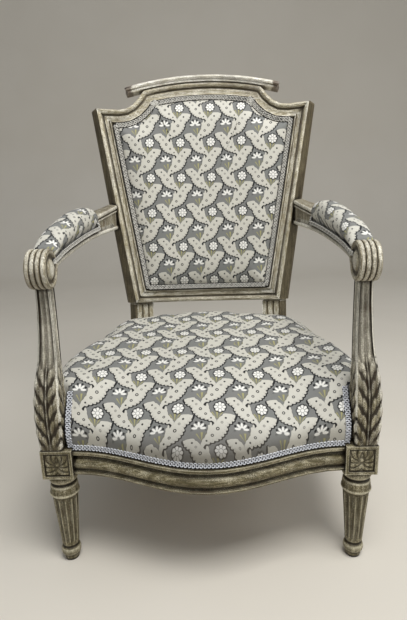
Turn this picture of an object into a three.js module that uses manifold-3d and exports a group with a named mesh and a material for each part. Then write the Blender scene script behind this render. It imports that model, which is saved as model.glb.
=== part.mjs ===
import * as THREE from 'three';
import { mergeVertices } from 'three/addons/utils/BufferGeometryUtils.js';
import Module from 'manifold-3d';

// Armchair with a painted beech frame and a nailed-on stuffed seat, back and arm pads.
// Millimetres, Z up, the front towards -Y. Left is the side of negative X.
// Depths are measured from the front faces of the front corner blocks until the end,
// where the whole chair is moved so that its origin is in the middle under it.

const wasm = await Module();
wasm.setup();

// Fits
const fit = 0.3;
const overrun = 4;

// Seat frame
const halfWidth = 292;
const blockSide = 55;
const blockRise = 4;
const blockDrop = 5;
const panelMargin = 8;
const panelDepth = 2;
const railBottom = 187;
const railHeight = 45;
const railThickness = 28;
const railRelief = 10;
const frontSetback = 4;
const frontBow = 65;
const sideBulge = 15;
const rearBulge = 14;
const sideRailSetback = 9;

// Rear posts at the rails
const postOuter = 174;
const postWidth = 47;
const postRear = 408;
const postDepth = 56;
const rearRailSetback = 4;

// Joints
const tenonLength = 21;
const tenonThickness = 10;
const tenonHeight = 22;
const tenonLift = 5;
const frontTenonSetback = 16;
const topTenonLength = 14;
const topTenonWidth = 16;
const pegRadius = 4;
const pegWall = 8;
const pegOffset = 5;
const stileTenonWidth = 16;
const stileTenonMargin = 3;
const lowerTenonLow = 12;
const lowerTenonHigh = 32;

// Front legs
const legRadius = 25;
const frontFlutes = 12;
const fluteDepth = 2.6;

// Rear legs
const rearLegRadius = 20;
const rearLegRake = 46;
const rearLegSplay = 14;
const rearFlutes = 8;

// Back frame
const rakeDegrees = 8.9;
const backRadius = 760;
const backRise = 51;
const backSetback = 14;
const backSideSetback = 3;
const shoulderSpread = 72;
const shoulderWidth = 50;
const hollowWidth = 59;
const shoulderRise = 443;
const hollowRise = 45;
const archCrown = 17;
const faceWidth = 30;
const memberWidth = 42;
const mouldingDepth = 8;
const frameDepth = 34;
const rearRebateWidth = 8;
const rearRebateDepth = 10;
const shoulderFlare = 6;
const sideFlare = 16;
const neckSetback = 9;
const neckFoot = 10;
const neckRise = 64;
const neckFluteDepth = 2.2;

// Cap on the arch
const capOversail = 33;
const capHeight = 14;
const capOverhang = 8;
const capDepth = 38;

// Arms
const rollHalfWidth = 16.7;
const rollRadius = 34.3;
const rollSetback = 34.5;
const rollCentreDeep = 15;
const reedDepth = 2.2;
const voluteDepth = 3;
const armSetOut = 14.5;
const armSetBack = 18.5;
const armRise = 30;
const armRollSink = 7;
const armStileHeight = 56;
const armTenonLength = 9;
const armTenonRoot = 24;
const padHeight = 49;
const padBulge = 3.5;
const armSeatHeight = 15;

// Arm supports
const supportHeight = 316;
const supportHeadSink = 4;
const supportHalf = 23;
const supportSetback = 21;
const supportDepth = 52;
const supportFluteDepth = 1.8;
const leafRelief = 3;

// Seat stuffing and base
const seatWall = 14;
const seatCrown = 127;
const seatTiltShare = 0.125;
const seatCentreShare = 0.466;
const crownFront = 210;
const crownCorner = 70;
const crownSide = 30;
const crownSideRear = 100;
const crownRear = 20;
const seatSwell = 12;
const seatRim = 9;
const seatInset = 2.5;
const notchClear = 1;
const strapWidth = 52;
const strapThickness = 1.8;
const strapWave = 1.3;
const strapLanding = 15;
const clothThickness = 1.2;

// Back stuffing
const backDome = 20;
const backPadLift = 1;
const outsideThickness = 7;

// Braid
const braidWidth = 12;
const braidThickness = 2.2;
const armBraidWidth = 8;
const riserHeight = 96;

// Places that follow from the sizes above
const lerp = THREE.MathUtils.lerp;
const blockInner = halfWidth - blockSide;
const railTop = railBottom + railHeight;
const blockTop = railTop + blockRise;
const blockBottom = railBottom - blockDrop;
const postInner = postOuter - postWidth;
const postFront = postRear - postDepth;
const rearRailRear = postRear - rearRailSetback;
const rake = THREE.MathUtils.degToRad(rakeDegrees);
const backBottom = railTop + seatCrown + backRise;
const backFront = postFront + backSetback;
const backLowerHalf = postOuter - backSideSetback;
const cornerTurn = backLowerHalf / backRadius;
const shoulderHalf = backLowerHalf + shoulderSpread;
const shoulderInner = shoulderHalf - shoulderWidth;
const archHalf = shoulderInner - hollowWidth;
const archCornerRise = shoulderRise + hollowRise;
const archRise = archCornerRise + archCrown;
const capHalf = archHalf + capOversail;
const rollCentreOut = halfWidth - rollSetback;
const rollCentreHigh = blockTop + supportHeight;
const armRearUnder = rollCentreHigh + armRise;
const armDrop = armRise + armRollSink;
const armUp = (armRearUnder + armStileHeight / 2 - backBottom) / Math.cos(rake);
const armSeat = onBack(backLowerHalf + shoulderSpread * armUp / shoulderRise, armUp, 0);
const armRearOut = armSeat.x + armSetOut;
const armRearDeep = armSeat.y + armSetBack;
const supportTop = rollCentreHigh - supportHeadSink;
const supportMiddle = halfWidth - supportSetback;
const seatCentreDeep = seatCentreShare * postRear;
const notchOut = supportMiddle - supportHalf - notchClear;
const riserTop = railTop + riserHeight;

function point(x, y, z) {
  return new THREE.Vector3(x, y, z);
}

// A closed geometry from positions and faces, turned so that its faces point out.
function closedGeometry(positions, faces) {
  let volume = 0;
  const a = new THREE.Vector3();
  const b = new THREE.Vector3();
  const c = new THREE.Vector3();
  for (let i = 0; i < faces.length; i += 3) {
    a.fromArray(positions, 3 * faces[i]);
    b.fromArray(positions, 3 * faces[i + 1]);
    c.fromArray(positions, 3 * faces[i + 2]);
    volume += a.dot(b.cross(c));
  }
  const order = volume < 0 ? faces.slice().reverse() : faces;
  const geometry = new THREE.BufferGeometry();
  geometry.setAttribute('position', new THREE.Float32BufferAttribute(positions, 3));
  geometry.setIndex(order);
  geometry.computeVertexNormals();
  return geometry;
}

// Triangles that fill an outline, all turned the way the outline runs.
function fillOutline(outline) {
  const contour = outline.map(([x, y]) => new THREE.Vector2(x, y));
  const positive = THREE.ShapeUtils.area(contour) > 0;
  return THREE.ShapeUtils.triangulateShape(contour, []).map(([i, j, k]) => {
    const [p, q, r] = [contour[i], contour[j], contour[k]];
    const turn = (q.x - p.x) * (r.y - p.y) - (r.x - p.x) * (q.y - p.y);
    return (turn > 0) === positive ? [i, j, k] : [i, k, j];
  });
}

// Skins a row of rings that have the same number of points. The ends are closed by the
// outline's own triangles, or by a fan round the middle where there is no outline.
function loft(rings, outline = null, looped = false) {
  const count = rings[0].length;
  const positions = rings.flat().flatMap((p) => [p.x, p.y, p.z]);
  const faces = [];
  const spans = looped ? rings.length : rings.length - 1;
  for (let i = 0; i < spans; i += 1) {
    const here = i * count;
    const next = ((i + 1) % rings.length) * count;
    for (let j = 0; j < count; j += 1) {
      const k = (j + 1) % count;
      faces.push(here + j, here + k, next + k, here + j, next + k, next + j);
    }
  }
  if (!looped) {
    const end = (rings.length - 1) * count;
    if (outline) {
      fillOutline(outline).forEach(([i, j, k]) => {
        faces.push(i, k, j, end + i, end + j, end + k);
      });
    } else {
      [[rings[0], 0, true], [rings[rings.length - 1], end, false]].forEach(([ring, start, first]) => {
        const middle = ring.reduce((sum, p) => sum.add(p), new THREE.Vector3()).divideScalar(count);
        const centre = positions.length / 3;
        positions.push(middle.x, middle.y, middle.z);
        for (let j = 0; j < count; j += 1) {
          const k = (j + 1) % count;
          if (first) faces.push(centre, start + k, start + j);
          else faces.push(centre, start + j, start + k);
        }
      });
    }
  }
  return closedGeometry(positions, faces);
}

function toSolid(geometry) {
  const bare = geometry.clone();
  bare.deleteAttribute('normal');
  bare.deleteAttribute('uv');
  const merged = mergeVertices(bare);
  return new wasm.Manifold(new wasm.Mesh({
    numProp: 3,
    vertProperties: merged.attributes.position.array,
    triVerts: new Uint32Array(merged.index.array),
  }));
}

function toGeometry(solid) {
  const mesh = solid.getMesh();
  const geometry = new THREE.BufferGeometry();
  geometry.setAttribute('position', new THREE.BufferAttribute(mesh.vertProperties, 3));
  geometry.setIndex(new THREE.BufferAttribute(mesh.triVerts, 1));
  geometry.computeVertexNormals();
  return geometry;
}

function joined(solids) {
  return solids.reduce((all, solid) => all.add(solid));
}

function cutBy(solid, cutters) {
  return cutters.reduce((rest, cutter) => rest.subtract(cutter), solid);
}

// A box between two corners, grown on every side by a clearance.
function boxBetween(low, high, grown = 0) {
  const size = high.clone().sub(low).addScalar(2 * grown);
  const middle = low.clone().add(high).multiplyScalar(0.5);
  const box = new THREE.BoxGeometry(size.x, size.y, size.z);
  box.translate(middle.x, middle.y, middle.z);
  return box;
}

// A round peg between two points.
function pegBetween(from, to, grown = 0) {
  const along = to.clone().sub(from);
  const length = along.length() + 2 * grown;
  const peg = new THREE.CylinderGeometry(pegRadius + grown, pegRadius + grown, length, 8);
  const turn = new THREE.Quaternion().setFromUnitVectors(point(0, 1, 0), along.normalize());
  peg.applyQuaternion(turn);
  const middle = from.clone().add(to).multiplyScalar(0.5);
  peg.translate(middle.x, middle.y, middle.z);
  return peg;
}

function mirrored(geometry, side) {
  if (side > 0) return geometry;
  const copy = geometry.clone();
  copy.scale(-1, 1, 1);
  const index = Array.from(copy.index.array).reverse();
  copy.setIndex(index);
  return copy;
}

// Places a point of the flat drawing of the back (across, up, behind its face) on the
// real back, which is bent round the sitter and leans.
function onBack(across, up, behind) {
  const turn = across / backRadius;
  const deep = (backRadius + behind) * Math.cos(turn) - backRadius * Math.cos(cornerTurn);
  return point(
    (backRadius + behind) * Math.sin(turn),
    backFront + deep * Math.cos(rake) + up * Math.sin(rake),
    backBottom + up * Math.cos(rake) - deep * Math.sin(rake),
  );
}

function backBox(low, high, grown = 0) {
  const [u0, v0, w0] = low.map((value) => value - grown);
  const [u1, v1, w1] = high.map((value) => value + grown);
  const ring = (u) => [onBack(u, v0, w0), onBack(u, v1, w0), onBack(u, v1, w1), onBack(u, v0, w1)];
  return loft([ring(u0), ring(u1)]);
}

// Section of the back frame: shares of the face's width inward, and of the moulding's
// depth behind the face: bead, groove, cove and inner bead.
const frameFaceShares = [
  [0, 0.5], [0.05, 0.06], [0.17, -0.12], [0.3, 0.03], [0.37, 0.8], [0.45, 0.8],
  [0.5, 0.52], [0.65, 0.86], [0.81, 0.76], [0.85, 0.42], [0.93, 0.3], [1, 0.5],
];
// Outer side of the back frame: shares of the flare outward and of the frame's depth.
const frameSideShares = [[1, 1], [0.85, 0.76], [0.35, 0.42]];

function frameSection(flare) {
  const face = frameFaceShares.map(([inward, behind]) => [inward * faceWidth, behind * mouldingDepth]);
  const side = frameSideShares.map(([out, behind]) => [-out * flare, behind * frameDepth]);
  return [
    ...face,
    [faceWidth, mouldingDepth],
    [memberWidth, mouldingDepth],
    [memberWidth, frameDepth - rearRebateDepth],
    [memberWidth - rearRebateWidth, frameDepth - rearRebateDepth],
    [memberWidth - rearRebateWidth, frameDepth],
    ...side,
  ];
}

// Sweeps the frame's section along a drawn path with mitred corners. Each path point is
// [across, up, flare]; ends hold the mitre direction there and how far it is kept back.
function mouldedRun(path, sectionAt, ends) {
  const directions = path.slice(1).map((p, i) => {
    const from = path[i];
    const length = Math.hypot(p[0] - from[0], p[1] - from[1]);
    return [(p[0] - from[0]) / length, (p[1] - from[1]) / length];
  });
  const rings = path.map(([across, up, flare], i) => {
    const before = directions[Math.max(i - 1, 0)];
    const after = directions[Math.min(i, directions.length - 1)];
    const first = [before[1], -before[0]];
    const second = [after[1], -after[0]];
    const even = 1 + first[0] * second[0] + first[1] * second[1];
    let inward = [(first[0] + second[0]) / even, (first[1] + second[1]) / even];
    let start = [across, up];
    const end = i === 0 ? ends[0] : i === path.length - 1 ? ends[1] : null;
    if (end) {
      const sense = i === 0 ? 1 : -1;
      const straight = end.inward[0] * first[0] + end.inward[1] * first[1];
      inward = [end.inward[0] / straight, end.inward[1] / straight];
      const back = sense * end.back * Math.hypot(inward[0], inward[1]);
      start = [across + after[0] * back, up + after[1] * back];
    }
    return sectionAt(flare).map(([depth, behind]) => {
      if (end && depth < 0) {
        const aside = Math.sign(inward[0]) / Math.abs(first[0] || 1);
        return onBack(start[0] + aside * depth, start[1] + end.back, behind);
      }
      return onBack(start[0] + inward[0] * depth, start[1] + inward[1] * depth, behind);
    });
  });
  return loft(rings, sectionAt(path[0][2]));
}

// The mitre direction at a corner of the frame between two straight runs.
function mitre(before, corner, after) {
  const one = [corner[0] - before[0], corner[1] - before[1]];
  const two = [after[0] - corner[0], after[1] - corner[1]];
  const a = one.map((value) => value / Math.hypot(...one));
  const b = two.map((value) => value / Math.hypot(...two));
  const sum = [a[1] + b[1], -a[0] - b[0]];
  const length = Math.hypot(...sum);
  return [sum[0] / length, sum[1] / length];
}

const lowerCorner = [backLowerHalf, 0];
const shoulder = [shoulderHalf, shoulderRise];
const shoulderMitre = mitre([shoulderInner, shoulderRise], shoulder, lowerCorner);
const lowerMitre = mitre(shoulder, lowerCorner, [0, 0]);

// Half of the crest's outline from the middle of the arch to the shoulder.
const archRadius = (archHalf ** 2 + (archRise - archCornerRise) ** 2) / (2 * (archRise - archCornerRise));
const archSteps = 6;
const hollowSteps = 4;
const hollowStartShares = [0.28, 0.64];
const hollowEndShares = [0.4, 0];

function archUp(across) {
  return archRise - archRadius + Math.sqrt(archRadius ** 2 - across ** 2);
}

function crestHalf() {
  const run = shoulderInner - archHalf;
  const drop = archCornerRise - shoulderRise;
  const arch = Array.from({ length: archSteps }, (_, i) => {
    const across = archHalf * i / archSteps;
    return [across, archUp(across), 0];
  });
  const hollow = new THREE.CubicBezierCurve(
    new THREE.Vector2(archHalf, archCornerRise),
    new THREE.Vector2(archHalf + run * hollowStartShares[0], archCornerRise - drop * hollowStartShares[1]),
    new THREE.Vector2(shoulderInner - run * hollowEndShares[0], shoulderRise + drop * hollowEndShares[1]),
    new THREE.Vector2(shoulderInner, shoulderRise),
  ).getPoints(hollowSteps).map((p) => [p.x, p.y, 0]);
  return [...arch, ...hollow, [...shoulder, shoulderFlare]];
}

function crestPath() {
  const half = crestHalf();
  const other = half.slice(1).reverse().map(([across, up, flare]) => [-across, up, flare]);
  return [...other, ...half];
}

const stileTenonMiddle = shoulderHalf - memberWidth / 2;
const backTenonNear = mouldingDepth + stileTenonMargin;
const backTenonFar = frameDepth - rearRebateDepth - stileTenonMargin;

// The tenon on top of a stile stands inside the member and goes up into the crest rail.
function stileTenon(grown) {
  return backBox(
    [stileTenonMiddle - stileTenonWidth / 2, shoulderRise - memberWidth - overrun, backTenonNear],
    [stileTenonMiddle + stileTenonWidth / 2, shoulderRise - mouldingDepth, backTenonFar],
    grown,
  );
}

function crestPeg(grown) {
  const up = shoulderRise - mouldingDepth - pegWall;
  return pegBetween(
    onBack(stileTenonMiddle, up, frameDepth),
    onBack(stileTenonMiddle, up, mouldingDepth + overrun / 2),
    grown,
  );
}

function makeCrestRail() {
  const keep = { inward: shoulderMitre, back: fit };
  const left = { inward: [-shoulderMitre[0], shoulderMitre[1]], back: fit };
  const run = toSolid(mouldedRun(crestPath(), frameSection, [left, keep]));
  const cutters = [1, -1].flatMap((side) => [
    toSolid(mirrored(stileTenon(fit), side)),
    toSolid(mirrored(crestPeg(fit), side)),
  ]);
  return toGeometry(cutBy(run, cutters));
}

// Cap section: shares of its height up and of its overhang forward, then its back.
const capFaceShares = [
  [0, 0.3], [0.22, 0.5], [0.3, 0.35], [0.42, 0.85], [0.62, 1], [0.84, 0.8], [1, 0.3],
];
const capSteps = 12;

function makeCrestCap() {
  const rows = capFaceShares.map(([up, out]) => [fit + up * capHeight, -out * capOverhang, out]);
  const last = capFaceShares[capFaceShares.length - 1][1];
  const first = capFaceShares[0][1];
  const section = [...rows, [fit + capHeight * 0.8, capDepth - capOverhang, last],
    [fit, capDepth - capOverhang, first]];
  const rings = Array.from({ length: capSteps + 1 }, (_, i) => {
    const across = lerp(-capHalf, capHalf, i / capSteps);
    const lean = across / archRadius;
    const rise = Math.sqrt(1 - lean * lean);
    const end = i === 0 ? -1 : i === capSteps ? 1 : 0;
    return section.map(([up, behind, out]) => {
      const along = end * out * capOverhang;
      return onBack(
        across + lean * up + rise * along,
        archUp(across) + rise * up - lean * along,
        behind,
      );
    });
  });
  return loft(rings, section);
}

const lowerRailSteps = 6;

function lowerRailTenon(side, grown) {
  const shoulderAt = backLowerHalf - memberWidth - fit;
  const box = backBox(
    [shoulderAt - overrun, lowerTenonLow, backTenonNear],
    [shoulderAt + tenonLength, lowerTenonHigh, backTenonFar],
    grown,
  );
  return mirrored(box, side);
}

function lowerRailPeg(side, grown) {
  const across = backLowerHalf - memberWidth + tenonLength / 2;
  const up = (lowerTenonLow + lowerTenonHigh) / 2;
  const peg = pegBetween(
    onBack(across, up, frameDepth),
    onBack(across, up, mouldingDepth + overrun / 2),
    grown,
  );
  return mirrored(peg, side);
}

// The lower rail butts against the posts behind, while the front of its moulding runs on
// to the mitre at the outer corners.
function lowerRailSolid(grown) {
  const section = frameSection(0).map(([inward, behind]) => [
    inward > 0 ? inward + grown : inward - grown,
    behind > frameDepth / 2 ? behind + grown : behind - grown,
  ]);
  const path = Array.from({ length: lowerRailSteps + 1 }, (_, i) => (
    [lerp(backLowerHalf, -backLowerHalf, i / lowerRailSteps), 0, 0]
  ));
  const right = { inward: lowerMitre, back: fit - grown };
  const left = { inward: [-lowerMitre[0], lowerMitre[1]], back: fit - grown };
  const run = toSolid(mouldedRun(path, () => section, [right, left]));
  const behindTip = backBox(
    [backLowerHalf - memberWidth - fit + grown, -overrun, mouldingDepth + grown],
    [backLowerHalf + overrun, memberWidth + overrun, frameDepth + overrun],
  );
  return cutBy(run, [1, -1].map((side) => toSolid(mirrored(behindTip, side))));
}

function makeLowerBackRail() {
  const tenons = [1, -1].map((side) => toSolid(lowerRailTenon(side, 0)));
  const pegs = [1, -1].map((side) => toSolid(lowerRailPeg(side, fit)));
  return toGeometry(cutBy(joined([lowerRailSolid(0), ...tenons]), pegs));
}

// Turned legs: heights as shares of the leg, radii as shares of its widest, and 1 where fluted.
const frontTurningShares = [
  [1.02, 1, 0], [0.975, 0.95, 0], [0.945, 0.84, 0], [0.925, 0.89, 0], [0.905, 0.98, 0],
  [0.84, 0.97, 0], [0.828, 1.03, 0], [0.808, 1, 0], [0.785, 0.94, 0], [0.755, 0.93, 1],
  [0.2, 0.63, 1], [0.165, 0.6, 0], [0.11, 0.7, 0], [0.055, 0.6, 0], [0, 0.52, 0],
];
const rearTurningShares = [
  [1.02, 0.98, 0], [0.94, 0.9, 0], [0.92, 1, 0], [0.82, 1, 0], [0.785, 0.94, 0], [0.755, 0.93, 1],
  [0.2, 0.63, 1], [0.165, 0.6, 0], [0.11, 0.7, 0], [0, 0.52, 0],
];
const fluteEdgeShares = [-0.42, 0, 0.42];

function turnedLeg(turning, flutes, radius, height, foot, top) {
  const rings = turning.map(([up, wide, fluted]) => {
    const ring = [];
    for (let i = 0; i < flutes; i += 1) {
      fluteEdgeShares.forEach((edge) => {
        const turn = 2 * Math.PI * (i + edge) / flutes;
        const hollow = edge === 0 ? fluted * fluteDepth * wide : 0;
        const reach = radius * wide - hollow;
        ring.push(point(
          lerp(foot.x, top.x, up) + reach * Math.cos(turn),
          lerp(foot.y, top.y, up) + reach * Math.sin(turn),
          height * up,
        ));
      });
    }
    return ring;
  });
  return toSolid(loft(rings));
}

// Tenons of the seat rails. The front ones run outward into the front blocks.
const tenonLow = railBottom + tenonLift;
const tenonHigh = tenonLow + tenonHeight;

function frontTenon(grown) {
  return boxBetween(
    point(blockInner - overrun, frontTenonSetback + fit, tenonLow),
    point(blockInner + tenonLength, frontTenonSetback + tenonThickness, tenonHigh),
    grown,
  );
}

const sideTenonOut = halfWidth - sideRailSetback - railThickness / 2;

function sideFrontTenon(grown) {
  return boxBetween(
    point(sideTenonOut, blockSide - tenonLength, tenonLow),
    point(sideTenonOut + tenonThickness, blockSide + overrun, tenonHigh),
    grown,
  );
}

const rearTenonDeep = rearRailRear - railThickness / 2;

function sideRearTenon(grown) {
  return boxBetween(
    point(postOuter - tenonLength, rearTenonDeep - tenonThickness / 2, tenonLow),
    point(postOuter + overrun, rearTenonDeep + tenonThickness / 2, tenonHigh),
    grown,
  );
}

function rearTenon(grown) {
  return boxBetween(
    point(postInner - overrun, rearTenonDeep - tenonThickness / 2, tenonLow),
    point(postInner + tenonLength, rearTenonDeep + tenonThickness / 2, tenonHigh),
    grown,
  );
}

const pegHigh = (tenonLow + tenonHigh) / 2;

function frontPeg(grown) {
  const out = blockInner + tenonLength / 2;
  const high = pegHigh - pegOffset;
  return pegBetween(point(out, blockSide, high), point(out, pegWall, high), grown);
}

function sidePeg(grown) {
  const deep = blockSide - tenonLength / 2;
  const high = pegHigh + pegOffset;
  return pegBetween(point(blockInner, deep, high), point(halfWidth - pegWall, deep, high), grown);
}

function rearPeg(grown, out) {
  return pegBetween(point(out, postRear, pegHigh), point(out, postFront + pegWall, pegHigh), grown);
}

const sideRearPegOut = postOuter - tenonLength / 2;
const rearPegOut = postInner + tenonLength / 2;

// Tenons at the two ends of an arm support.
const supportTenonOut = halfWidth - blockSide / 2;
const supportTenonDeep = blockSide / 2;

function supportFootTenon(grown) {
  const half = topTenonWidth / 2;
  return boxBetween(
    point(supportTenonOut - half, supportTenonDeep - half, blockTop - topTenonLength),
    point(supportTenonOut + half, supportTenonDeep + half, blockTop + overrun),
    grown,
  );
}

function makeFrontLeg() {
  const block = boxBetween(point(blockInner, 0, blockBottom), point(halfWidth, blockSide, blockTop));
  const axis = point(halfWidth - blockSide / 2, blockSide / 2, 0);
  const leg = turnedLeg(frontTurningShares, frontFlutes, legRadius, blockBottom, axis, axis);
  const frontPanel = boxBetween(
    point(blockInner + panelMargin, -overrun, blockBottom + panelMargin),
    point(halfWidth - panelMargin, panelDepth, blockTop - panelMargin),
  );
  const sidePanel = boxBetween(
    point(halfWidth - panelDepth, panelMargin, blockBottom + panelMargin),
    point(halfWidth + overrun, blockSide - panelMargin, blockTop - panelMargin),
  );
  const cutters = [
    frontPanel, sidePanel, frontTenon(fit), sideFrontTenon(fit), supportFootTenon(fit),
    frontPeg(fit), sidePeg(fit),
  ];
  return toGeometry(cutBy(joined([toSolid(block), leg]), cutters.map(toSolid)));
}

// Seat rail section: shares of the relief outward and of the rail's height.
const railFaceShares = [
  [-0.5, 0], [-0.06, 0.04], [0.05, 0.11], [-0.5, 0.21], [-0.5, 0.28], [-0.12, 0.31],
  [0.15, 0.38], [0.22, 0.47], [0.12, 0.56], [-0.2, 0.64], [-0.6, 0.68], [-0.75, 0.75], [-0.6, 0.83],
  [0, 0.88], [0, 1],
];

function railSection() {
  const face = railFaceShares.map(([out, up]) => [
    out * railRelief, railBottom + up * (railTop - railBottom),
  ]);
  return [...face, [-railThickness, railTop], [-railThickness, railBottom]];
}

function railRun(plan) {
  const section = railSection();
  const rings = plan.map(({ at, out }) => section.map(([reach, high]) => (
    point(at.x + out.x * reach, at.y + out.y * reach, high)
  )));
  return toSolid(loft(rings, section));
}

function frontDepth(across) {
  const share = Math.min(Math.abs(across) / blockInner, 1);
  return frontSetback - frontBow * (1 + Math.cos(Math.PI * share)) / 2;
}

const frontSteps = 16;

function makeFrontRail() {
  const reach = blockInner - fit;
  const step = reach / frontSteps;
  const plan = Array.from({ length: frontSteps + 1 }, (_, i) => {
    const across = lerp(-reach, reach, i / frontSteps);
    const slope = (frontDepth(across + step) - frontDepth(across - step)) / (2 * step);
    const out = new THREE.Vector2(slope, -1).normalize();
    const square = i === 0 || i === frontSteps;
    if (square) out.set(0, -1);
    return { at: new THREE.Vector2(across, frontDepth(across)), out };
  });
  const tenons = [1, -1].map((side) => toSolid(mirrored(frontTenon(0), side)));
  const pegs = [1, -1].map((side) => toSolid(mirrored(frontPeg(fit), side)));
  return toGeometry(cutBy(joined([railRun(plan), ...tenons]), pegs));
}

// Outer line of a side rail in plan, from the front block to the rear post.
const sideStartShares = [1, 0.32];
const sideEndShares = [1, 1];
const sideSteps = 9;

function sideCurve() {
  const start = new THREE.Vector2(halfWidth - sideRailSetback, blockSide + fit);
  const end = new THREE.Vector2(postOuter + fit, rearRailRear);
  const length = end.y - start.y;
  return new THREE.CubicBezierCurve(
    start,
    new THREE.Vector2(start.x + sideBulge * sideStartShares[0], start.y + length * sideStartShares[1]),
    new THREE.Vector2(halfWidth + rearBulge * sideEndShares[0], start.y + length * sideEndShares[1]),
    end,
  );
}

function makeSideRail() {
  const curve = sideCurve();
  const plan = Array.from({ length: sideSteps + 1 }, (_, i) => {
    const share = i / sideSteps;
    const along = curve.getTangent(share);
    const out = new THREE.Vector2(along.y, -along.x);
    if (i === 0) out.set(1, 0);
    if (i === sideSteps) out.set(0, 1);
    return { at: curve.getPoint(share), out };
  });
  const tenons = [sideFrontTenon(0), sideRearTenon(0)].map(toSolid);
  const pegs = [sidePeg(fit), rearPeg(fit, sideRearPegOut)].map(toSolid);
  return toGeometry(cutBy(joined([railRun(plan), ...tenons]), pegs));
}

function makeRearRail() {
  const body = boxBetween(
    point(-postInner + fit, rearRailRear - railThickness, railBottom),
    point(postInner - fit, rearRailRear, railTop),
  );
  const tenons = [1, -1].map((side) => toSolid(mirrored(rearTenon(0), side)));
  const pegs = [1, -1].map((side) => toSolid(mirrored(rearPeg(fit, rearPegOut), side)));
  return toGeometry(cutBy(joined([toSolid(body), ...tenons]), pegs));
}

// Neck of a rear post between the rail block and the back: heights above the block as
// shares, and how deep the flutes are there.
const neckFlutes = 3;
const neckPoints = 9;
const neckFlareShare = 0.7;

// One ring of the neck from its four corners, with flutes sunk into the front edge.
function neckRing(frontInner, frontOuter, rearOuter, rearInner, depth) {
  const ring = [];
  for (let i = 0; i <= neckPoints; i += 1) {
    const share = i / neckPoints;
    const sunk = depth * Math.abs(Math.sin(neckFlutes * Math.PI * share));
    const place = frontInner.clone().lerp(frontOuter, share);
    const inward = rearInner.clone().lerp(rearOuter, share).sub(place).normalize();
    ring.push(place.addScaledVector(inward, sunk));
  }
  return [...ring, rearOuter, rearInner];
}

function drawnNeckRing(up, behind, depth, grown) {
  const slope = shoulderSpread / shoulderRise;
  const outer = backLowerHalf + Math.max(up, 0) * slope;
  const inner = outer - memberWidth + (up > 0 ? rearRebateWidth : 0);
  return neckRing(
    onBack(inner - grown, up, behind - grown),
    onBack(outer + grown, up, behind - grown),
    onBack(outer + sideFlare * neckFlareShare + grown, up, frameDepth + grown),
    onBack(inner - grown, up, frameDepth + grown),
    depth,
  );
}

function levelNeckRing(high, depth, grown, share) {
  const spare = (1 - share) * sideFlare * (1 - neckFlareShare);
  return neckRing(
    point(postInner - grown, postFront - grown, high),
    point(postOuter - spare + grown, postFront - grown, high),
    point(postOuter + grown, postRear + grown, high),
    point(postInner - grown, postRear + grown, high),
    depth,
  );
}

function neckSolid(grown) {
  const rings = [
    levelNeckRing(blockBottom + overrun, 0, grown, 1),
    levelNeckRing(blockTop + neckFoot, 0, grown, 1),
    levelNeckRing(blockTop + neckRise, neckFluteDepth, grown, 0),
    drawnNeckRing(-memberWidth, neckSetback, neckFluteDepth, grown),
    drawnNeckRing(-overrun, neckSetback, neckFluteDepth, grown),
    drawnNeckRing(overrun, mouldingDepth + overrun / 2, 0, grown),
    drawnNeckRing(memberWidth + overrun, mouldingDepth + overrun / 2, 0, grown),
  ];
  return toSolid(loft(rings));
}

const stileSteps = 3;

function stileRun(grown) {
  const path = Array.from({ length: stileSteps + 1 }, (_, i) => {
    const share = i / stileSteps;
    return [
      lerp(shoulderHalf, backLowerHalf, share) + grown,
      lerp(shoulderRise, 0, share),
      lerp(shoulderFlare, sideFlare, share),
    ];
  });
  const section = (flare) => frameSection(flare).map(([inward, behind]) => {
    const deep = behind > frameDepth / 2 ? behind + grown : behind - grown;
    const wide = inward > memberWidth / 2 ? inward + 2 * grown : inward;
    return [wide, deep];
  });
  return toSolid(mouldedRun(path, section, [
    { inward: shoulderMitre, back: 0 }, { inward: lowerMitre, back: 0 },
  ]));
}

// Arm tenon, driven back into the stile's outer side.
const armTenonHighShares = [0.35, 0.7];

function armTenon(grown) {
  const [low, high] = armTenonHighShares.map((share) => armRearUnder + armStileHeight * share);
  return boxBetween(
    point(armRearOut - tenonThickness / 2, armRearDeep - armTenonRoot, low),
    point(armRearOut + tenonThickness / 2, armRearDeep + armTenonLength, high),
    grown,
  );
}

function makeRearPost() {
  const block = boxBetween(point(postInner, postFront, blockBottom), point(postOuter, postRear, blockTop));
  const top = point((postInner + postOuter) / 2, (postFront + postRear) / 2, 0);
  const foot = point(top.x + rearLegSplay, top.y + rearLegRake, 0);
  const leg = turnedLeg(rearTurningShares, rearFlutes, rearLegRadius, blockBottom, foot, top);
  const whole = joined([toSolid(block), leg, neckSolid(0), stileRun(0), toSolid(stileTenon(0))]);
  const cutters = [
    sideRearTenon(fit), rearTenon(fit), armTenon(fit), crestPeg(fit),
    rearPeg(fit, sideRearPegOut), rearPeg(fit, rearPegOut), lowerRailTenon(1, fit), lowerRailPeg(1, fit),
  ].map(toSolid);
  return toGeometry(cutBy(whole, [lowerRailSolid(fit), ...cutters]));
}

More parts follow.
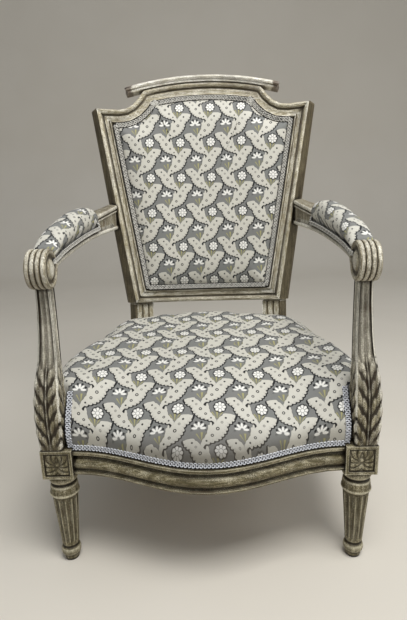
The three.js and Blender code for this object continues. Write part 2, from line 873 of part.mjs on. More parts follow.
// Arm: shares of its reach forward, its spread outward, the drop of its underside, its
// width, its height at the stile, and the pad's height. Rows without the fifth carry the pad.
const armShares = [
  [0, 0, 0, 0.82, 1, 0], [0.08, 0.05, 0, 0.86, 0.95, 0], [0.176, 0.18, 0.02, 0.94, 0.78, 0],
  [0.178, 0.18, 0.02, 0.94, 0, 0], [0.186, 0.2, 0.02, 0.95, 0, 0.6], [0.21, 0.24, 0.03, 0.97, 0, 0.82],
  [0.26, 0.33, 0.05, 1, 0, 0.94], [0.34, 0.48, 0.09, 1.04, 0, 1], [0.44, 0.65, 0.17, 1.08, 0, 1],
  [0.54, 0.8, 0.3, 1.1, 0, 0.97], [0.64, 0.94, 0.46, 1.1, 0, 0.91], [0.74, 1.05, 0.63, 1.08, 0, 0.82],
  [0.83, 1.11, 0.8, 1.05, 0, 0.7], [0.92, 1.08, 0.96, 1, 0, 0.46], [1, 1, 1, 0.86, 0, 0],
];
// Arm section: shares of half the width and of the height.
const armHalfShares = [[0.7, 0], [1, 0.14], [0.9, 0.3], [0.82, 0.5], [0.9, 0.7], [1, 0.86], [0.92, 1]];

function armSection() {
  const other = armHalfShares.slice().reverse().map(([wide, up]) => [-wide, up]);
  return [...armHalfShares, ...other];
}

const armReach = armRearDeep - rollCentreDeep;
const armSpread = rollCentreOut - armRearOut;

function armStation([forward, outward, drop, width, height, full]) {
  return {
    at: new THREE.Vector2(armRearOut + outward * armSpread, armRearDeep - forward * armReach),
    under: armRearUnder - drop * armDrop,
    half: width * rollHalfWidth,
    wood: height > 0 ? height * armStileHeight : armSeatHeight,
    full,
  };
}

// Arm stations with the sideways direction at each, square to the arm's run.
function armStations() {
  const stations = armShares.map(armStation);
  return stations.map((station, i) => {
    const before = stations[Math.max(i - 1, 0)].at;
    const after = stations[Math.min(i + 1, stations.length - 1)].at;
    const along = after.clone().sub(before).normalize();
    return { ...station, aside: new THREE.Vector2(-along.y, along.x) };
  });
}

function armBodySolid(grown) {
  const section = armSection();
  const rings = armStations().map(({ at, aside, under, half, wood }) => section.map(([wide, up]) => {
    const out = wide * half + Math.sign(wide) * grown;
    const high = under + up * wood + (up < 0.5 ? -grown : grown);
    return point(at.x + aside.x * out, at.y + aside.y * out, high);
  }));
  return toSolid(loft(rings, section));
}

// Rolled end of the arm: rings from one side to the other as shares of its half width
// and of its radius. The roll's edge is reeded and each side is sunk round an eye.
const rollReeds = 4;
const rollReedShares = [0, 0.3, 0.7];
const rollTurns = 16;
const rollShrink = 0.13;
const rollSideShares = [[0, 0.26], [1, 0.34], [1, 0.62], [0, 0.76]];

function rollProfile(plain) {
  const reeded = [];
  const groove = plain ? 0 : reedDepth;
  const sink = plain ? 0 : voluteDepth;
  for (let i = 0; i < rollReeds; i += 1) {
    rollReedShares.forEach((share) => {
      const across = -1 + 2 * (i + share) / rollReeds;
      reeded.push([across * rollHalfWidth, rollRadius - (share === 0 ? groove : 0)]);
    });
  }
  reeded.push([rollHalfWidth, rollRadius - groove]);
  const side = rollSideShares.map(([sunk, wide]) => [rollHalfWidth - sunk * sink, wide * rollRadius]);
  const left = side.map(([across, wide]) => [-across, wide]);
  return [...left, ...reeded, ...side.reverse()];
}

function rollSolid(grown, plain = false) {
  const rings = rollProfile(plain).map(([across, wide]) => Array.from({ length: rollTurns }, (_, i) => {
    const share = i / rollTurns;
    const turn = 2 * Math.PI * share;
    const reach = (wide + grown) * (1 - rollShrink * share);
    const out = across * (1 + grown / rollHalfWidth);
    return point(
      rollCentreOut + out,
      rollCentreDeep + reach * Math.cos(turn),
      rollCentreHigh + reach * Math.sin(turn),
    );
  }));
  return toSolid(loft(rings));
}

function supportHeadTenon(grown) {
  const half = topTenonWidth / 2;
  const high = rollCentreHigh - rollRadius / 3;
  return boxBetween(
    point(rollCentreOut - half, supportHeadDeep - half, rollCentreHigh - rollRadius - topTenonLength),
    point(rollCentreOut + half, supportHeadDeep + half, high),
    grown,
  );
}

function makeArm() {
  const body = cutBy(armBodySolid(0), [stileRun(fit), neckSolid(fit)]);
  const whole = joined([body, rollSolid(0), toSolid(armTenon(0))]);
  return toGeometry(cutBy(whole, [toSolid(supportHeadTenon(fit))]));
}

// Arm support: shares of its height, its inner and outer faces as shares of half its
// widest from its middle, its front and rear faces as shares of its depth, then how much
// of the flutes and how much of the carved leaf there is.
const supportShares = [
  [0, -0.8, 0.9, 0.04, 0.85, 0, 0.2], [0.05, -0.87, 0.95, 0.01, 0.85, 0, 1],
  [0.1, -0.92, 0.98, -0.01, 0.85, 0, 1], [0.15, -0.95, 0.99, -0.03, 0.84, 0, 1],
  [0.2, -0.96, 0.99, -0.03, 0.83, 0, 1], [0.25, -0.96, 0.97, -0.02, 0.82, 0, 1],
  [0.3, -0.96, 0.93, 0.01, 0.82, 0, 1], [0.35, -0.96, 0.86, 0.06, 0.82, 0, 0.9],
  [0.4, -0.96, 0.77, 0.11, 0.82, 0, 0.7], [0.44, -0.97, 0.68, 0.15, 0.82, 0, 0.4],
  [0.48, -0.98, 0.58, 0.2, 0.82, 0, 0.1], [0.52, -0.99, 0.48, 0.23, 0.82, 1, 0],
  [0.64, -1.01, 0.3, 0.28, 0.83, 1, 0], [0.8, -1.02, 0.14, 0.29, 0.84, 1, 0],
  [1, -1.02, 0.05, 0.26, 0.84, 1, 0],
];
const supportFlutes = 3;
const supportPoints = 12;
const leafLobes = 7;
const leafSweep = 0.55;
const supportRound = 5;
const supportHeadDeep = supportDepth * 0.57;

function supportRing([up, inner, outer, front, rear, fluted, leafed]) {
  const from = supportMiddle + inner * supportHalf;
  const to = supportMiddle + outer * supportHalf;
  const face = front * supportDepth;
  const back = rear * supportDepth;
  const high = lerp(blockTop + fit, supportTop, up);
  const ring = [];
  for (let i = 0; i <= supportPoints; i += 1) {
    const share = i / supportPoints;
    const edge = Math.abs(2 * share - 1);
    const flute = fluted * supportFluteDepth * Math.abs(Math.sin(supportFlutes * Math.PI * share));
    const lobe = Math.abs(Math.sin(Math.PI * leafLobes * (up + leafSweep * edge / leafLobes)));
    const rib = 1 - edge;
    const leaf = leafed * leafRelief * (lobe * edge + rib);
    const corner = supportRound * edge ** 5;
    ring.push(point(lerp(from, to, share), face + corner + flute - leaf, high));
  }
  ring.push(point(to, back - supportRound, high), point(to - supportRound, back, high));
  ring.push(point(from + supportRound, back, high), point(from, back - supportRound, high));
  return ring;
}

function makeArmSupport() {
  const rings = supportShares.map(supportRing);
  const body = cutBy(toSolid(loft(rings)), [rollSolid(fit, true), armBodySolid(fit)]);
  return toGeometry(joined([body, toSolid(supportFootTenon(0)), toSolid(supportHeadTenon(0))]));
}

// Plan of the seat cover, all round, before the corners are cut out for the posts.
const cornerShares = [[0.2, 0.02], [0.55, 0.06], [0.85, 0.3]];
const seatFrontSteps = 18;
const seatSideSteps = 14;
const seatRearSteps = 6;

function seatHalfPlan(inset) {
  const plan = [];
  const reach = blockInner;
  for (let i = 0; i <= seatFrontSteps / 2; i += 1) {
    const across = reach * i / (seatFrontSteps / 2);
    plan.push(new THREE.Vector2(across, frontDepth(across) + inset));
  }
  const side = sideCurve();
  const start = side.getPoint(0);
  cornerShares.forEach(([out, back]) => plan.push(new THREE.Vector2(
    lerp(reach, start.x - inset, out), lerp(frontSetback, start.y, back) + inset,
  )));
  for (let i = 0; i <= seatSideSteps; i += 1) {
    const share = i / seatSideSteps;
    const along = side.getTangent(share);
    const at = side.getPoint(share);
    plan.push(new THREE.Vector2(at.x - along.y * inset, at.y + along.x * inset));
  }
  for (let i = 1; i <= seatRearSteps / 2; i += 1) {
    const across = postOuter * (1 - i / (seatRearSteps / 2));
    plan.push(new THREE.Vector2(across, rearRailRear - inset));
  }
  return plan;
}

function seatPlan(inset) {
  const half = seatHalfPlan(inset);
  const other = half.slice(1, -1).reverse().map((p) => new THREE.Vector2(-p.x, p.y));
  return [...half, ...other];
}

// Half width inside the side rails at a depth.
function sideReach(y) {
  const curve = sideCurve();
  let low = 0;
  let high = 1;
  for (let i = 0; i < 24; i += 1) {
    const middle = (low + high) / 2;
    if (curve.getPoint(middle).y < y) low = middle;
    else high = middle;
  }
  return curve.getPoint(low).x;
}

// How far the crown has risen at a distance from an edge, as a share.
function edgeRise(distance, reach, power) {
  const left = 1 - THREE.MathUtils.clamp(distance / reach, 0, 1);
  return (1 - left * left) ** power;
}

// The crown climbs slowly from the front, faster beside the arm supports, and steeply at
// the sides and the rear.
const frontPower = 0.66;
const edgePower = 0.5;
// Shares of the seat's depth between which the sides turn from square to round.
const crownTurnShares = [0.35, 0.75];

function crownHeight(x, y) {
  const out = Math.abs(x);
  const front = lerp(crownFront, crownCorner, THREE.MathUtils.smoothstep(out / blockInner, 0.35, 1));
  const rear = lerp(crownRear, crownCorner, THREE.MathUtils.smoothstep(out / postOuter, 0.35, 1));
  const side = lerp(crownSide, crownSideRear, THREE.MathUtils.smoothstep(y / postRear, ...crownTurnShares));
  const rise = edgeRise(y - frontDepth(out) - seatInset, front, frontPower)
    * edgeRise(sideReach(y) - seatInset - out, side, edgePower)
    * edgeRise(rearRailRear - seatInset - y, rear, edgePower);
  const full = seatCrown - seatWall + seatTiltShare * (y - seatCentreDeep);
  return railTop + fit + seatWall + rise * full;
}

const crownRingShares = [0.995, 0.98, 0.95, 0.91, 0.86, 0.8, 0.7, 0.54, 0.32];
const swellShares = [0.3, 0.8, 1, 0, 0, 0, 0, 0, 0];

function seatBody(grown) {
  const plan = seatPlan(seatInset);
  const grownPlan = seatPlan(seatInset - grown);
  const ring = (share, spread, height) => plan.map((p, i) => {
    const x = p.x * share;
    const y = (p.y - seatCentreDeep) * share;
    return point(
      x * spread + grownPlan[i].x - p.x,
      seatCentreDeep + y * spread + grownPlan[i].y - p.y,
      height(x, seatCentreDeep + y),
    );
  });
  const bottom = railTop + fit;
  const under = bottom + 2 * (strapWave + strapThickness / 2 + fit) + clothThickness;
  const rimShare = 1 - seatRim / (seatCentreDeep + frontBow);
  return toSolid(loft([
    ring(rimShare, 1, () => under),
    ring(rimShare, 1, () => bottom),
    ring(1, 1, () => bottom),
    ring(1, 1, () => bottom + seatWall),
    ...crownRingShares.map((share, i) => (
      ring(share, 1 + swellShares[i] * seatSwell / halfWidth, (x, y) => crownHeight(x, y) + grown)
    )),
  ]));
}

// A front corner that the seat leaves free, from a line in plan outward and up to a height.
function cornerCutter(side, out, top) {
  return toSolid(mirrored(boxBetween(
    point(out, -frontBow - overrun, blockBottom),
    point(halfWidth + overrun, blockSide + fit, top),
  ), side));
}

function postCutter(side) {
  return toSolid(mirrored(toGeometry(neckSolid(fit)), side));
}

function makeSeat() {
  const cutters = [1, -1].flatMap((side) => [
    cornerCutter(side, notchOut, supportTop), cornerCutter(side, blockInner - fit, blockTop + fit),
    postCutter(side),
  ]);
  return toGeometry(cutBy(seatBody(0), cutters));
}

// Base cloth, under the stuffing and over the straps.
function makeBaseCloth() {
  const share = 1 - (seatRim + 2 * fit) / seatCentreDeep;
  const plan = seatPlan(seatInset);
  const level = (high) => plan.map((p) => point(
    p.x * share, seatCentreDeep + (p.y - seatCentreDeep) * share, high,
  ));
  const low = railTop + 2 * fit + 2 * (strapWave + strapThickness / 2);
  const sheet = toSolid(loft([level(low), level(low + clothThickness)]));
  const cutters = [1, -1].flatMap((side) => [
    cornerCutter(side, blockInner - fit, supportTop), postCutter(side),
  ]);
  return toGeometry(cutBy(sheet, cutters));
}

// Straps: places across the seat as shares of half its width, and their ends.
const longStrapShares = [-0.7, -0.41, -0.14, 0.14, 0.41, 0.7];
const crossStrapShares = [0.1, 0.32, 0.54, 0.76];
const longStrapRearShares = [0.71, 0.95, 0.33, 0.33, 0.95, 0.71];

function crossStrapDeep(share) {
  return lerp(blockSide, postFront - strapWidth / 2, share);
}

// A strap from one end to the other that rises and falls where it crosses others.
function strap(from, to, crossings, wide) {
  const middle = railTop + fit + strapWave + strapThickness / 2;
  const stops = [{ share: 0, lift: 0 }, ...crossings, { share: 1, lift: 0 }];
  const rings = [];
  stops.forEach((stop, i) => {
    const centre = from.clone().lerp(to, stop.share);
    const flat = i === 0 || i === stops.length - 1;
    const high = flat ? middle - strapWave : middle + stop.lift * strapWave;
    const half = strapThickness / 2;
    const reach = flat ? 0 : strapWidth / 2 / from.distanceTo(to);
    const shares = flat ? [0] : [-reach, reach];
    shares.forEach((shift) => {
      const place = centre.clone().add(to.clone().sub(from).multiplyScalar(shift));
      rings.push([
        point(place.x - wide.x, place.y - wide.y, high - half),
        point(place.x + wide.x, place.y + wide.y, high - half),
        point(place.x + wide.x, place.y + wide.y, high + half),
        point(place.x - wide.x, place.y - wide.y, high + half),
      ]);
    });
  });
  return loft(rings);
}

function longStrapEnds(i) {
  const across = longStrapShares[i] * halfWidth;
  const outer = Math.abs(longStrapShares[i]) > 0.5;
  const room = outer ? halfWidth : postInner - strapWidth / 2;
  const rear = Math.sign(across) * longStrapRearShares[i] * room;
  const end = outer ? postFront - strapWidth / 2 : rearRailRear - strapLanding;
  return [
    new THREE.Vector2(across, frontDepth(Math.abs(across) + strapWidth / 2) + strapLanding),
    new THREE.Vector2(rear, end),
  ];
}

function makeLongStrap(i) {
  const [from, to] = longStrapEnds(i);
  const crossings = crossStrapShares.map((share, j) => ({
    share: (crossStrapDeep(share) - from.y) / (to.y - from.y),
    lift: (i + j) % 2 === 0 ? 1 : -1,
  }));
  return strap(from, to, crossings, new THREE.Vector2(strapWidth / 2, 0));
}

function makeCrossStrap(j) {
  const deep = crossStrapDeep(crossStrapShares[j]);
  const near = Math.min(sideReach(deep - strapWidth / 2), sideReach(deep + strapWidth / 2));
  const reach = near - strapLanding;
  const from = new THREE.Vector2(-reach, deep);
  const to = new THREE.Vector2(reach, deep);
  const crossings = longStrapShares.map((_, i) => {
    const [front, rear] = longStrapEnds(i);
    const across = lerp(front.x, rear.x, (deep - front.y) / (rear.y - front.y));
    return { share: (across + reach) / (2 * reach), lift: (i + j) % 2 === 0 ? -1 : 1 };
  });
  return strap(from, to, crossings, new THREE.Vector2(0, strapWidth / 2));
}

// A band of braid standing on edge along a line of its foot.
function standingBraid(line, width) {
  const rings = line.map((p, i) => {
    const before = line[Math.max(i - 1, 0)];
    const after = line[Math.min(i + 1, line.length - 1)];
    const along = new THREE.Vector2(after.x - before.x, after.y - before.y).normalize();
    const out = point(along.y, -along.x, 0);
    const near = p.clone().addScaledVector(out, fit);
    const far = p.clone().addScaledVector(out, fit + braidThickness);
    return [
      near, far, point(far.x, far.y, far.z + width), point(near.x, near.y, near.z + width),
    ];
  });
  return loft(rings);
}

const braidLow = railTop + 2 * fit;

function makeFrontBraid() {
  const half = seatHalfPlan(seatInset).slice(0, seatFrontSteps / 2 + 1);
  const line = half.map((p) => point(p.x, p.y, braidLow));
  const other = half.slice(1).reverse().map((p) => point(-p.x, p.y, braidLow));
  line[line.length - 1].x -= fit;
  other[0].x += fit;
  return standingBraid([...other, ...line], braidWidth);
}

function makeSideBraid() {
  const plan = seatHalfPlan(seatInset);
  const first = seatFrontSteps / 2 + 1 + cornerShares.length;
  const line = plan.slice(first, first + seatSideSteps + 1).map((p) => point(p.x, p.y, braidLow));
  line[0].y += fit;
  line[line.length - 1].x += 2 * fit;
  return standingBraid(line, braidWidth);
}

// Braid up the edge of the seat cover beside an arm support, on the cover's own shape.
function makeRiserBraid(side) {
  const band = toSolid(mirrored(boxBetween(
    point(notchOut - braidWidth, -frontBow, braidLow + braidWidth + fit),
    point(notchOut - fit, blockSide, riserTop),
  ), side));
  return toGeometry(cutBy(seatBody(fit + braidThickness).intersect(band), [seatBody(fit)]));
}

// Closed outline of a run of the back frame at a distance inside its outer edge.
function backRing(inset) {
  const half = crestHalf().map(([across, up]) => [across, up]);
  const right = [...half, ...Array.from({ length: stileSteps }, (_, i) => {
    const share = (i + 1) / stileSteps;
    return [lerp(shoulderHalf, backLowerHalf, share), lerp(shoulderRise, 0, share)];
  })];
  const bottom = Array.from({ length: lowerRailSteps / 2 }, (_, i) => (
    [lerp(lowerCorner[0], 0, (i + 1) / (lowerRailSteps / 2)), 0]
  ));
  const one = [...right, ...bottom];
  const other = one.slice(1, -1).reverse().map(([across, up]) => [-across, up]);
  const path = [...one, ...other];
  return path.map((p, i) => {
    const before = path[(i + path.length - 1) % path.length];
    const after = path[(i + 1) % path.length];
    const [mx, my] = mitre(before, p, after);
    const along = [after[0] - p[0], after[1] - p[1]];
    const length = Math.hypot(...along);
    const straight = (mx * along[1] - my * along[0]) / length;
    return [p[0] + mx * inset / straight, p[1] + my * inset / straight];
  });
}

const backMiddle = [0, shoulderRise * 0.52];

function backScaled(ring, share, behind) {
  return ring.map(([across, up]) => onBack(
    lerp(backMiddle[0], across, share), lerp(backMiddle[1], up, share), behind,
  ));
}

// Rings of the back stuffing: shares of the distance from the middle, and of the dome.
const domeShares = [[0.975, 0.2], [0.93, 0.44], [0.86, 0.66], [0.74, 0.84], [0.54, 0.96], [0.26, 1]];

function makeBackPad() {
  const edge = backRing(faceWidth + fit);
  const inner = backRing(faceWidth + fit + braidWidth);
  const floor = mouldingDepth - fit;
  return loft([
    backScaled(edge, 0.5, floor),
    backScaled(backRing(memberWidth + overrun), 1, floor),
    backScaled(edge, 1, floor),
    backScaled(edge, 1, backPadLift),
    backScaled(inner, 1, backPadLift),
    ...domeShares.map(([share, dome]) => backScaled(inner, share, backPadLift - dome * backDome)),
  ]);
}

function makeBackBraid() {
  const outer = backRing(faceWidth + fit);
  const inner = backRing(faceWidth + braidWidth - fit);
  const near = backPadLift - fit;
  const far = near - braidThickness;
  const rings = outer.map(([across, up], i) => [
    onBack(across, up, near), onBack(inner[i][0], inner[i][1], near),
    onBack(inner[i][0], inner[i][1], far), onBack(across, up, far),
  ]);
  return loft(rings, null, true);
}

function makeOutsideBack() {
  const edge = backRing(memberWidth - rearRebateWidth + fit);
  const near = frameDepth - rearRebateDepth + fit;
  const far = near + outsideThickness;
  const overLedge = backRing(memberWidth + overrun);
  return loft([
    backScaled(edge, 0.5, near),
    backScaled(overLedge, 1, near),
    backScaled(edge, 1, near),
    backScaled(edge, 1, far),
    backScaled(edge, 0.5, far),
  ]);
}

function makeOutsideBraid() {
  const outer = backRing(memberWidth - rearRebateWidth + fit);
  const inner = backRing(memberWidth - rearRebateWidth + braidWidth);
  const near = frameDepth - rearRebateDepth + outsideThickness + 2 * fit;
  const far = near + braidThickness;
  const rings = outer.map(([across, up], i) => [
    onBack(across, up, near), onBack(inner[i][0], inner[i][1], near),
    onBack(inner[i][0], inner[i][1], far), onBack(across, up, far),
  ]);
  return loft(rings, null, true);
}

// Arm pad section above its foot: shares of half its width and of its height.
const padHalfShares = [[1.01, 0.36], [1.05, 0.55], [0.99, 0.76], [0.78, 0.92], [0.42, 0.985]];

function padRing({ at, aside, under, half, full }) {
  const floor = under + armSeatHeight + fit;
  const foot = half - braidThickness - fit;
  const bulge = padHalfShares.map(([wide, up]) => [wide * (half + padBulge), up * full * padHeight]);
  const profile = [[foot, 0], [foot, armBraidWidth + fit], ...bulge];
  const other = profile.slice().reverse().map(([wide, up]) => [-wide, up]);
  return [...profile, [0, full * padHeight], ...other].map(([wide, up]) => point(
    at.x + aside.x * wide, at.y + aside.y * wide, floor + up,
  ));
}

function padStations() {
  return armStations().filter(({ full }) => full > 0);
}

function makeArmPad() {
  return toGeometry(cutBy(toSolid(loft(padStations().map(padRing))), [rollSolid(fit, true)]));
}

// Braid round the foot of an arm pad, back along its outer side and forward again.
function makePadBraid() {
  const stations = padStations();
  const foot = (side) => ({ at, aside, under, half }) => {
    const wide = side * (half - braidThickness - fit);
    return point(at.x + aside.x * wide, at.y + aside.y * wide, under + armSeatHeight + fit);
  };
  const line = [...stations.slice().reverse().map(foot(1)), ...stations.map(foot(-1))];
  return toGeometry(cutBy(toSolid(standingBraid(line, armBraidWidth)), [rollSolid(fit, true)]));
}

const meshes = new THREE.Group();

function addPiece(name, geometry, [color, roughness]) {
  const material = new THREE.MeshStandardMaterial({ color, roughness, metalness: 0 });
  const mesh = new THREE.Mesh(geometry, material);
  mesh.name = name;
  meshes.add(mesh);
}

// Colours and roughness
const paint = [0xb3a98c, 0.62];
const agedPaint = [0x857a5c, 0.66];
const bareWood = [0x6b4f34, 0.75];
const cover = [0xb9b3a8, 0.85];
const braid = [0x9ba1a8, 0.8];
const jute = [0x9a7d52, 0.92];
const hessian = [0xa68c62, 0.95];

addPiece('front_seat_rail', makeFrontRail(), agedPaint);
addPiece('rear_seat_rail', makeRearRail(), agedPaint);
addPiece('crest_rail', makeCrestRail(), paint);
addPiece('crest_cap', makeCrestCap(), paint);
addPiece('lower_back_rail', makeLowerBackRail(), paint);

const frontLeg = makeFrontLeg();
const rearPost = makeRearPost();
const sideRail = makeSideRail();
const arm = makeArm();
const armSupport = makeArmSupport();
const armPad = makeArmPad();
const padBraid = makePadBraid();
const sideBraid = makeSideBraid();
[['left', -1], ['right', 1]].forEach(([name, side]) => {
  addPiece(`front_leg_${name}`, mirrored(frontLeg, side), agedPaint);
  addPiece(`rear_post_${name}`, mirrored(rearPost, side), paint);
  addPiece(`side_seat_rail_${name}`, mirrored(sideRail, side), agedPaint);
  addPiece(`arm_${name}`, mirrored(arm, side), paint);
  addPiece(`arm_support_${name}`, mirrored(armSupport, side), agedPaint);
  addPiece(`arm_pad_${name}`, mirrored(armPad, side), cover);
  addPiece(`arm_pad_braid_${name}`, mirrored(padBraid, side), braid);
  addPiece(`seat_side_braid_${name}`, mirrored(sideBraid, side), braid);
  addPiece(`seat_riser_braid_${name}`, makeRiserBraid(side), braid);
  addPiece(`front_rail_peg_${name}`, mirrored(frontPeg(0), side), bareWood);
  addPiece(`side_rail_front_peg_${name}`, mirrored(sidePeg(0), side), bareWood);
  addPiece(`side_rail_rear_peg_${name}`, mirrored(rearPeg(0, sideRearPegOut), side), bareWood);
  addPiece(`rear_rail_peg_${name}`, mirrored(rearPeg(0, rearPegOut), side), bareWood);
  addPiece(`lower_back_rail_peg_${name}`, lowerRailPeg(side, 0), bareWood);
  addPiece(`crest_rail_peg_${name}`, mirrored(crestPeg(0), side), bareWood);
});

addPiece('seat_cushion', makeSeat(), cover);
addPiece('seat_front_braid', makeFrontBraid(), braid);
addPiece('seat_base_cloth', makeBaseCloth(), hessian);
longStrapShares.forEach((_, i) => addPiece(`long_strap_${i + 1}`, makeLongStrap(i), jute));
crossStrapShares.forEach((_, j) => addPiece(`cross_strap_${j + 1}`, makeCrossStrap(j), jute));
addPiece('back_pad', makeBackPad(), cover);
addPiece('back_braid', makeBackBraid(), braid);
addPiece('outside_back', makeOutsideBack(), cover);
addPiece('outside_back_braid', makeOutsideBraid(), braid);

// The origin is in the middle under the chair, on the floor.
const bounds = new THREE.Box3().setFromObject(meshes, true);
meshes.position.set(0, -(bounds.min.y + bounds.max.y) / 2, -bounds.min.z);

const chair = new THREE.Group();
chair.add(meshes);

export default chair;
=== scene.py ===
import math

import bmesh
import bpy
import numpy as np
from mathutils import Matrix, Vector
from mathutils.bvhtree import BVHTree


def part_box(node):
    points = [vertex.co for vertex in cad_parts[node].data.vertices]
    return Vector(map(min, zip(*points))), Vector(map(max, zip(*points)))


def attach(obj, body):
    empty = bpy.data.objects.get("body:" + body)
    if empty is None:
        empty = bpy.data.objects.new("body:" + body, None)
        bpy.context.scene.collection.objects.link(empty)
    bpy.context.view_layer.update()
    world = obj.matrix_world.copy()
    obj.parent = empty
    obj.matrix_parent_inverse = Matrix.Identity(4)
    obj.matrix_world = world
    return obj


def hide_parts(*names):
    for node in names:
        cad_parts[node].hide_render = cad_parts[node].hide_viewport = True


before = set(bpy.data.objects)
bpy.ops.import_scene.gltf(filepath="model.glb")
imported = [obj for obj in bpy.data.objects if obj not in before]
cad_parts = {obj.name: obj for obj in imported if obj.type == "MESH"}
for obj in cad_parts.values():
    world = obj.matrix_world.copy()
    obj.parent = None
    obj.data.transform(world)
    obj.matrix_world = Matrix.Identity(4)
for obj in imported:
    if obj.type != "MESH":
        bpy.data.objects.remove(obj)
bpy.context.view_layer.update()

# Sizes of the chair in millimetres, as the solids have them. Depths run back from the
# front faces of the front blocks.
FIT = 0.3
HALF_WIDTH = 292.0
BLOCK = 55.0
BLOCK_INNER = HALF_WIDTH - BLOCK
RAIL_TOP = 232.0
BLOCK_TOP = 236.0
BLOCK_BOTTOM = 182.0
FRONT_SETBACK = 4.0
FRONT_BOW = 65.0
SIDE_BULGE, SIDE_PULL = 15.0, 0.32
REAR_BULGE = 14.0
SIDE_SETBACK = 9.0
POST_OUTER = 174.0
POST_REAR = 408.0
RAIL_REAR = 404.0
SEAT_INSET = 2.5
SEAT_WALL = 14.0
SEAT_CROWN = 127.0
SEAT_TILT = 0.125
SEAT_CENTRE = 0.466 * POST_REAR
CROWN_FRONT, CROWN_CORNER, CROWN_REAR = 210.0, 70.0, 20.0
CROWN_SIDE, CROWN_SIDE_REAR = 30.0, 100.0
# Powers of the crown's rise: the smaller, the fuller the edge.
FRONT_ROUND, EDGE_ROUND = 0.66, 0.5
NOTCH_OUT = 247.0
RISER_TOP = 328.0
RAKE = math.radians(8.9)
BACK_RADIUS = 760.0
BACK_BOTTOM = 410.0
BACK_FRONT = 366.0
LOWER_HALF = 171.0
SHOULDER_HALF = 243.0
SHOULDER_INNER = 193.0
ARCH_HALF = 134.0
SHOULDER_RISE, ARCH_CORNER, ARCH_RISE = 443.0, 488.0, 505.0
# Control points of the hollow between arch and shoulder, as shares of its run and drop.
HOLLOW_OUT, HOLLOW_DOWN, HOLLOW_IN = 0.28, 0.64, 0.4
FACE_WIDTH = 30.0
BRAID = 12.0
BACK_DOME = 20.0
OUTSIDE_INSET, OUTSIDE_BEHIND = 34.0, 24.0

MM = 0.001
FRONT_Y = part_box("front_leg_right")[0][1]
SIDES = (("left", -1), ("right", 1))


# Small sums on arrays.

def unit(vectors):
    """Directions of length one."""
    return vectors / np.linalg.norm(vectors, axis=-1, keepdims=True)


def smooth_share(value, low, high):
    """0 to 1 between two values, level at both ends."""
    share = np.clip((value - low) / (high - low), 0, 1)
    return share * share * (3 - 2 * share)


def bell(value, width):
    """A smooth bump: 1 at zero, fading over the width."""
    return np.exp(-(value / width) ** 2)


def half_round(value, radius):
    """Height of a round bead over its foot, as a share: the root of 1 less the square."""
    return np.sqrt(np.clip(1 - (value / radius) ** 2, 0, 1))


def evened(values, weights):
    """Each value averaged with its neighbours by these weights."""
    return np.convolve(np.pad(values, len(weights) // 2, "edge"), weights, "valid")


def read_off(at, places, rows):
    """Rows of numbers, each column looked up between the places that it is known for."""
    return np.stack([np.interp(at, places, column) for column in rows.T], axis=1)


def cubic(t, first, second, third, last):
    """A cubic curve from its four control points."""
    near = (1 - t) ** 3 * first + 3 * (1 - t) ** 2 * t * second
    return near + 3 * (1 - t) * t ** 2 * third + t ** 3 * last


def placed(points):
    """Millimetres and depths turned into metres in the frame."""
    points = np.asarray(points, float) * MM
    points[..., 1] += FRONT_Y
    return points


def to_millimetres(points):
    """Metres in the frame turned back into millimetres and depths."""
    points = points.copy()
    points[:, 1] -= FRONT_Y
    return points / MM


# Meshes.

def quads(rows, columns, around=False, looped=False):
    """Corner numbers of the quads between neighbouring rows and columns of a grid."""
    i = np.arange(rows if looped else rows - 1)[:, None]
    j = np.arange(columns if around else columns - 1)[None, :]
    right = (j + 1) % columns
    below = (i + 1) % rows
    corners = [i * columns + j, i * columns + right, below * columns + right, below * columns + j]
    return np.stack(np.broadcast_arrays(*corners), axis=-1).reshape(-1, 4)


def volume(points, faces):
    """Six times the signed volume inside quads: the sum of triple products of corners."""
    a, b, c, d = (points[faces[:, k]] for k in range(4))
    return np.einsum("ij,ij->", a, np.cross(b, c)) + np.einsum("ij,ij->", a, np.cross(c, d))


def skin(grid, looped=False):
    """Points and faces of rings of points; the first and last rings become end faces,
    unless the rings run round in a loop."""
    rows, columns = grid.shape[:2]
    points = placed(grid.reshape(-1, 3))
    faces = quads(rows, columns, True, looped)
    ends = [list(range(columns))[::-1], list(range((rows - 1) * columns, rows * columns))]
    if volume(points, faces) < 0:
        faces = faces[:, ::-1]
        ends = [end[::-1] for end in ends]
    return points, list(faces) + ([] if looped else ends)


def linked(name, mesh):
    """A new object in the scene."""
    made = bpy.data.objects.new(name, mesh)
    bpy.context.scene.collection.objects.link(made)
    return made


def shade_smooth(mesh, smooth=True):
    """Shades every face smooth, or every face flat."""
    mesh.polygons.foreach_set("use_smooth", [smooth] * len(mesh.polygons))


def dress(piece, finish, replaces=()):
    """Gives a piece its finish, its body, and the solids that it stands for."""
    piece.data.materials.clear()
    piece.data.materials.append(finish)
    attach(piece, "root")
    if replaces:
        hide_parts(*replaces)


def lay_uv(mesh, uv):
    """Cloth coordinates in millimetres, one pair for each vertex."""
    layer = mesh.uv_layers.get("UVMap") or mesh.uv_layers.new(name="UVMap")
    corners = np.empty(len(mesh.loops), int)
    mesh.loops.foreach_get("vertex_index", corners)
    layer.data.foreach_set("uv", np.asarray(uv, float)[corners].ravel())


def add_piece(name, points, faces, finish, slot, uv=None, replaces=(), smooth=True, hollow=None):
    """A mesh object of quads (and end polygons) that rides on the frame's one body."""
    mesh = bpy.data.meshes.new(name)
    mesh.from_pydata(np.asarray(points).tolist(), [], [list(map(int, face)) for face in faces])
    if uv is not None:
        lay_uv(mesh, uv)
    # The hollow attribute darkens the paint in hollows with dirt and painted shade, and brightens it on
    # ridges with kept paint and a painted highlight.
    if hollow is not None:
        mesh.attributes.new("hollow", "FLOAT", "POINT").data.foreach_set("value", hollow.ravel())
    shade_smooth(mesh, smooth)
    mesh.update()
    piece = linked(name, mesh)
    dress(piece, finish, replaces)
    return piece


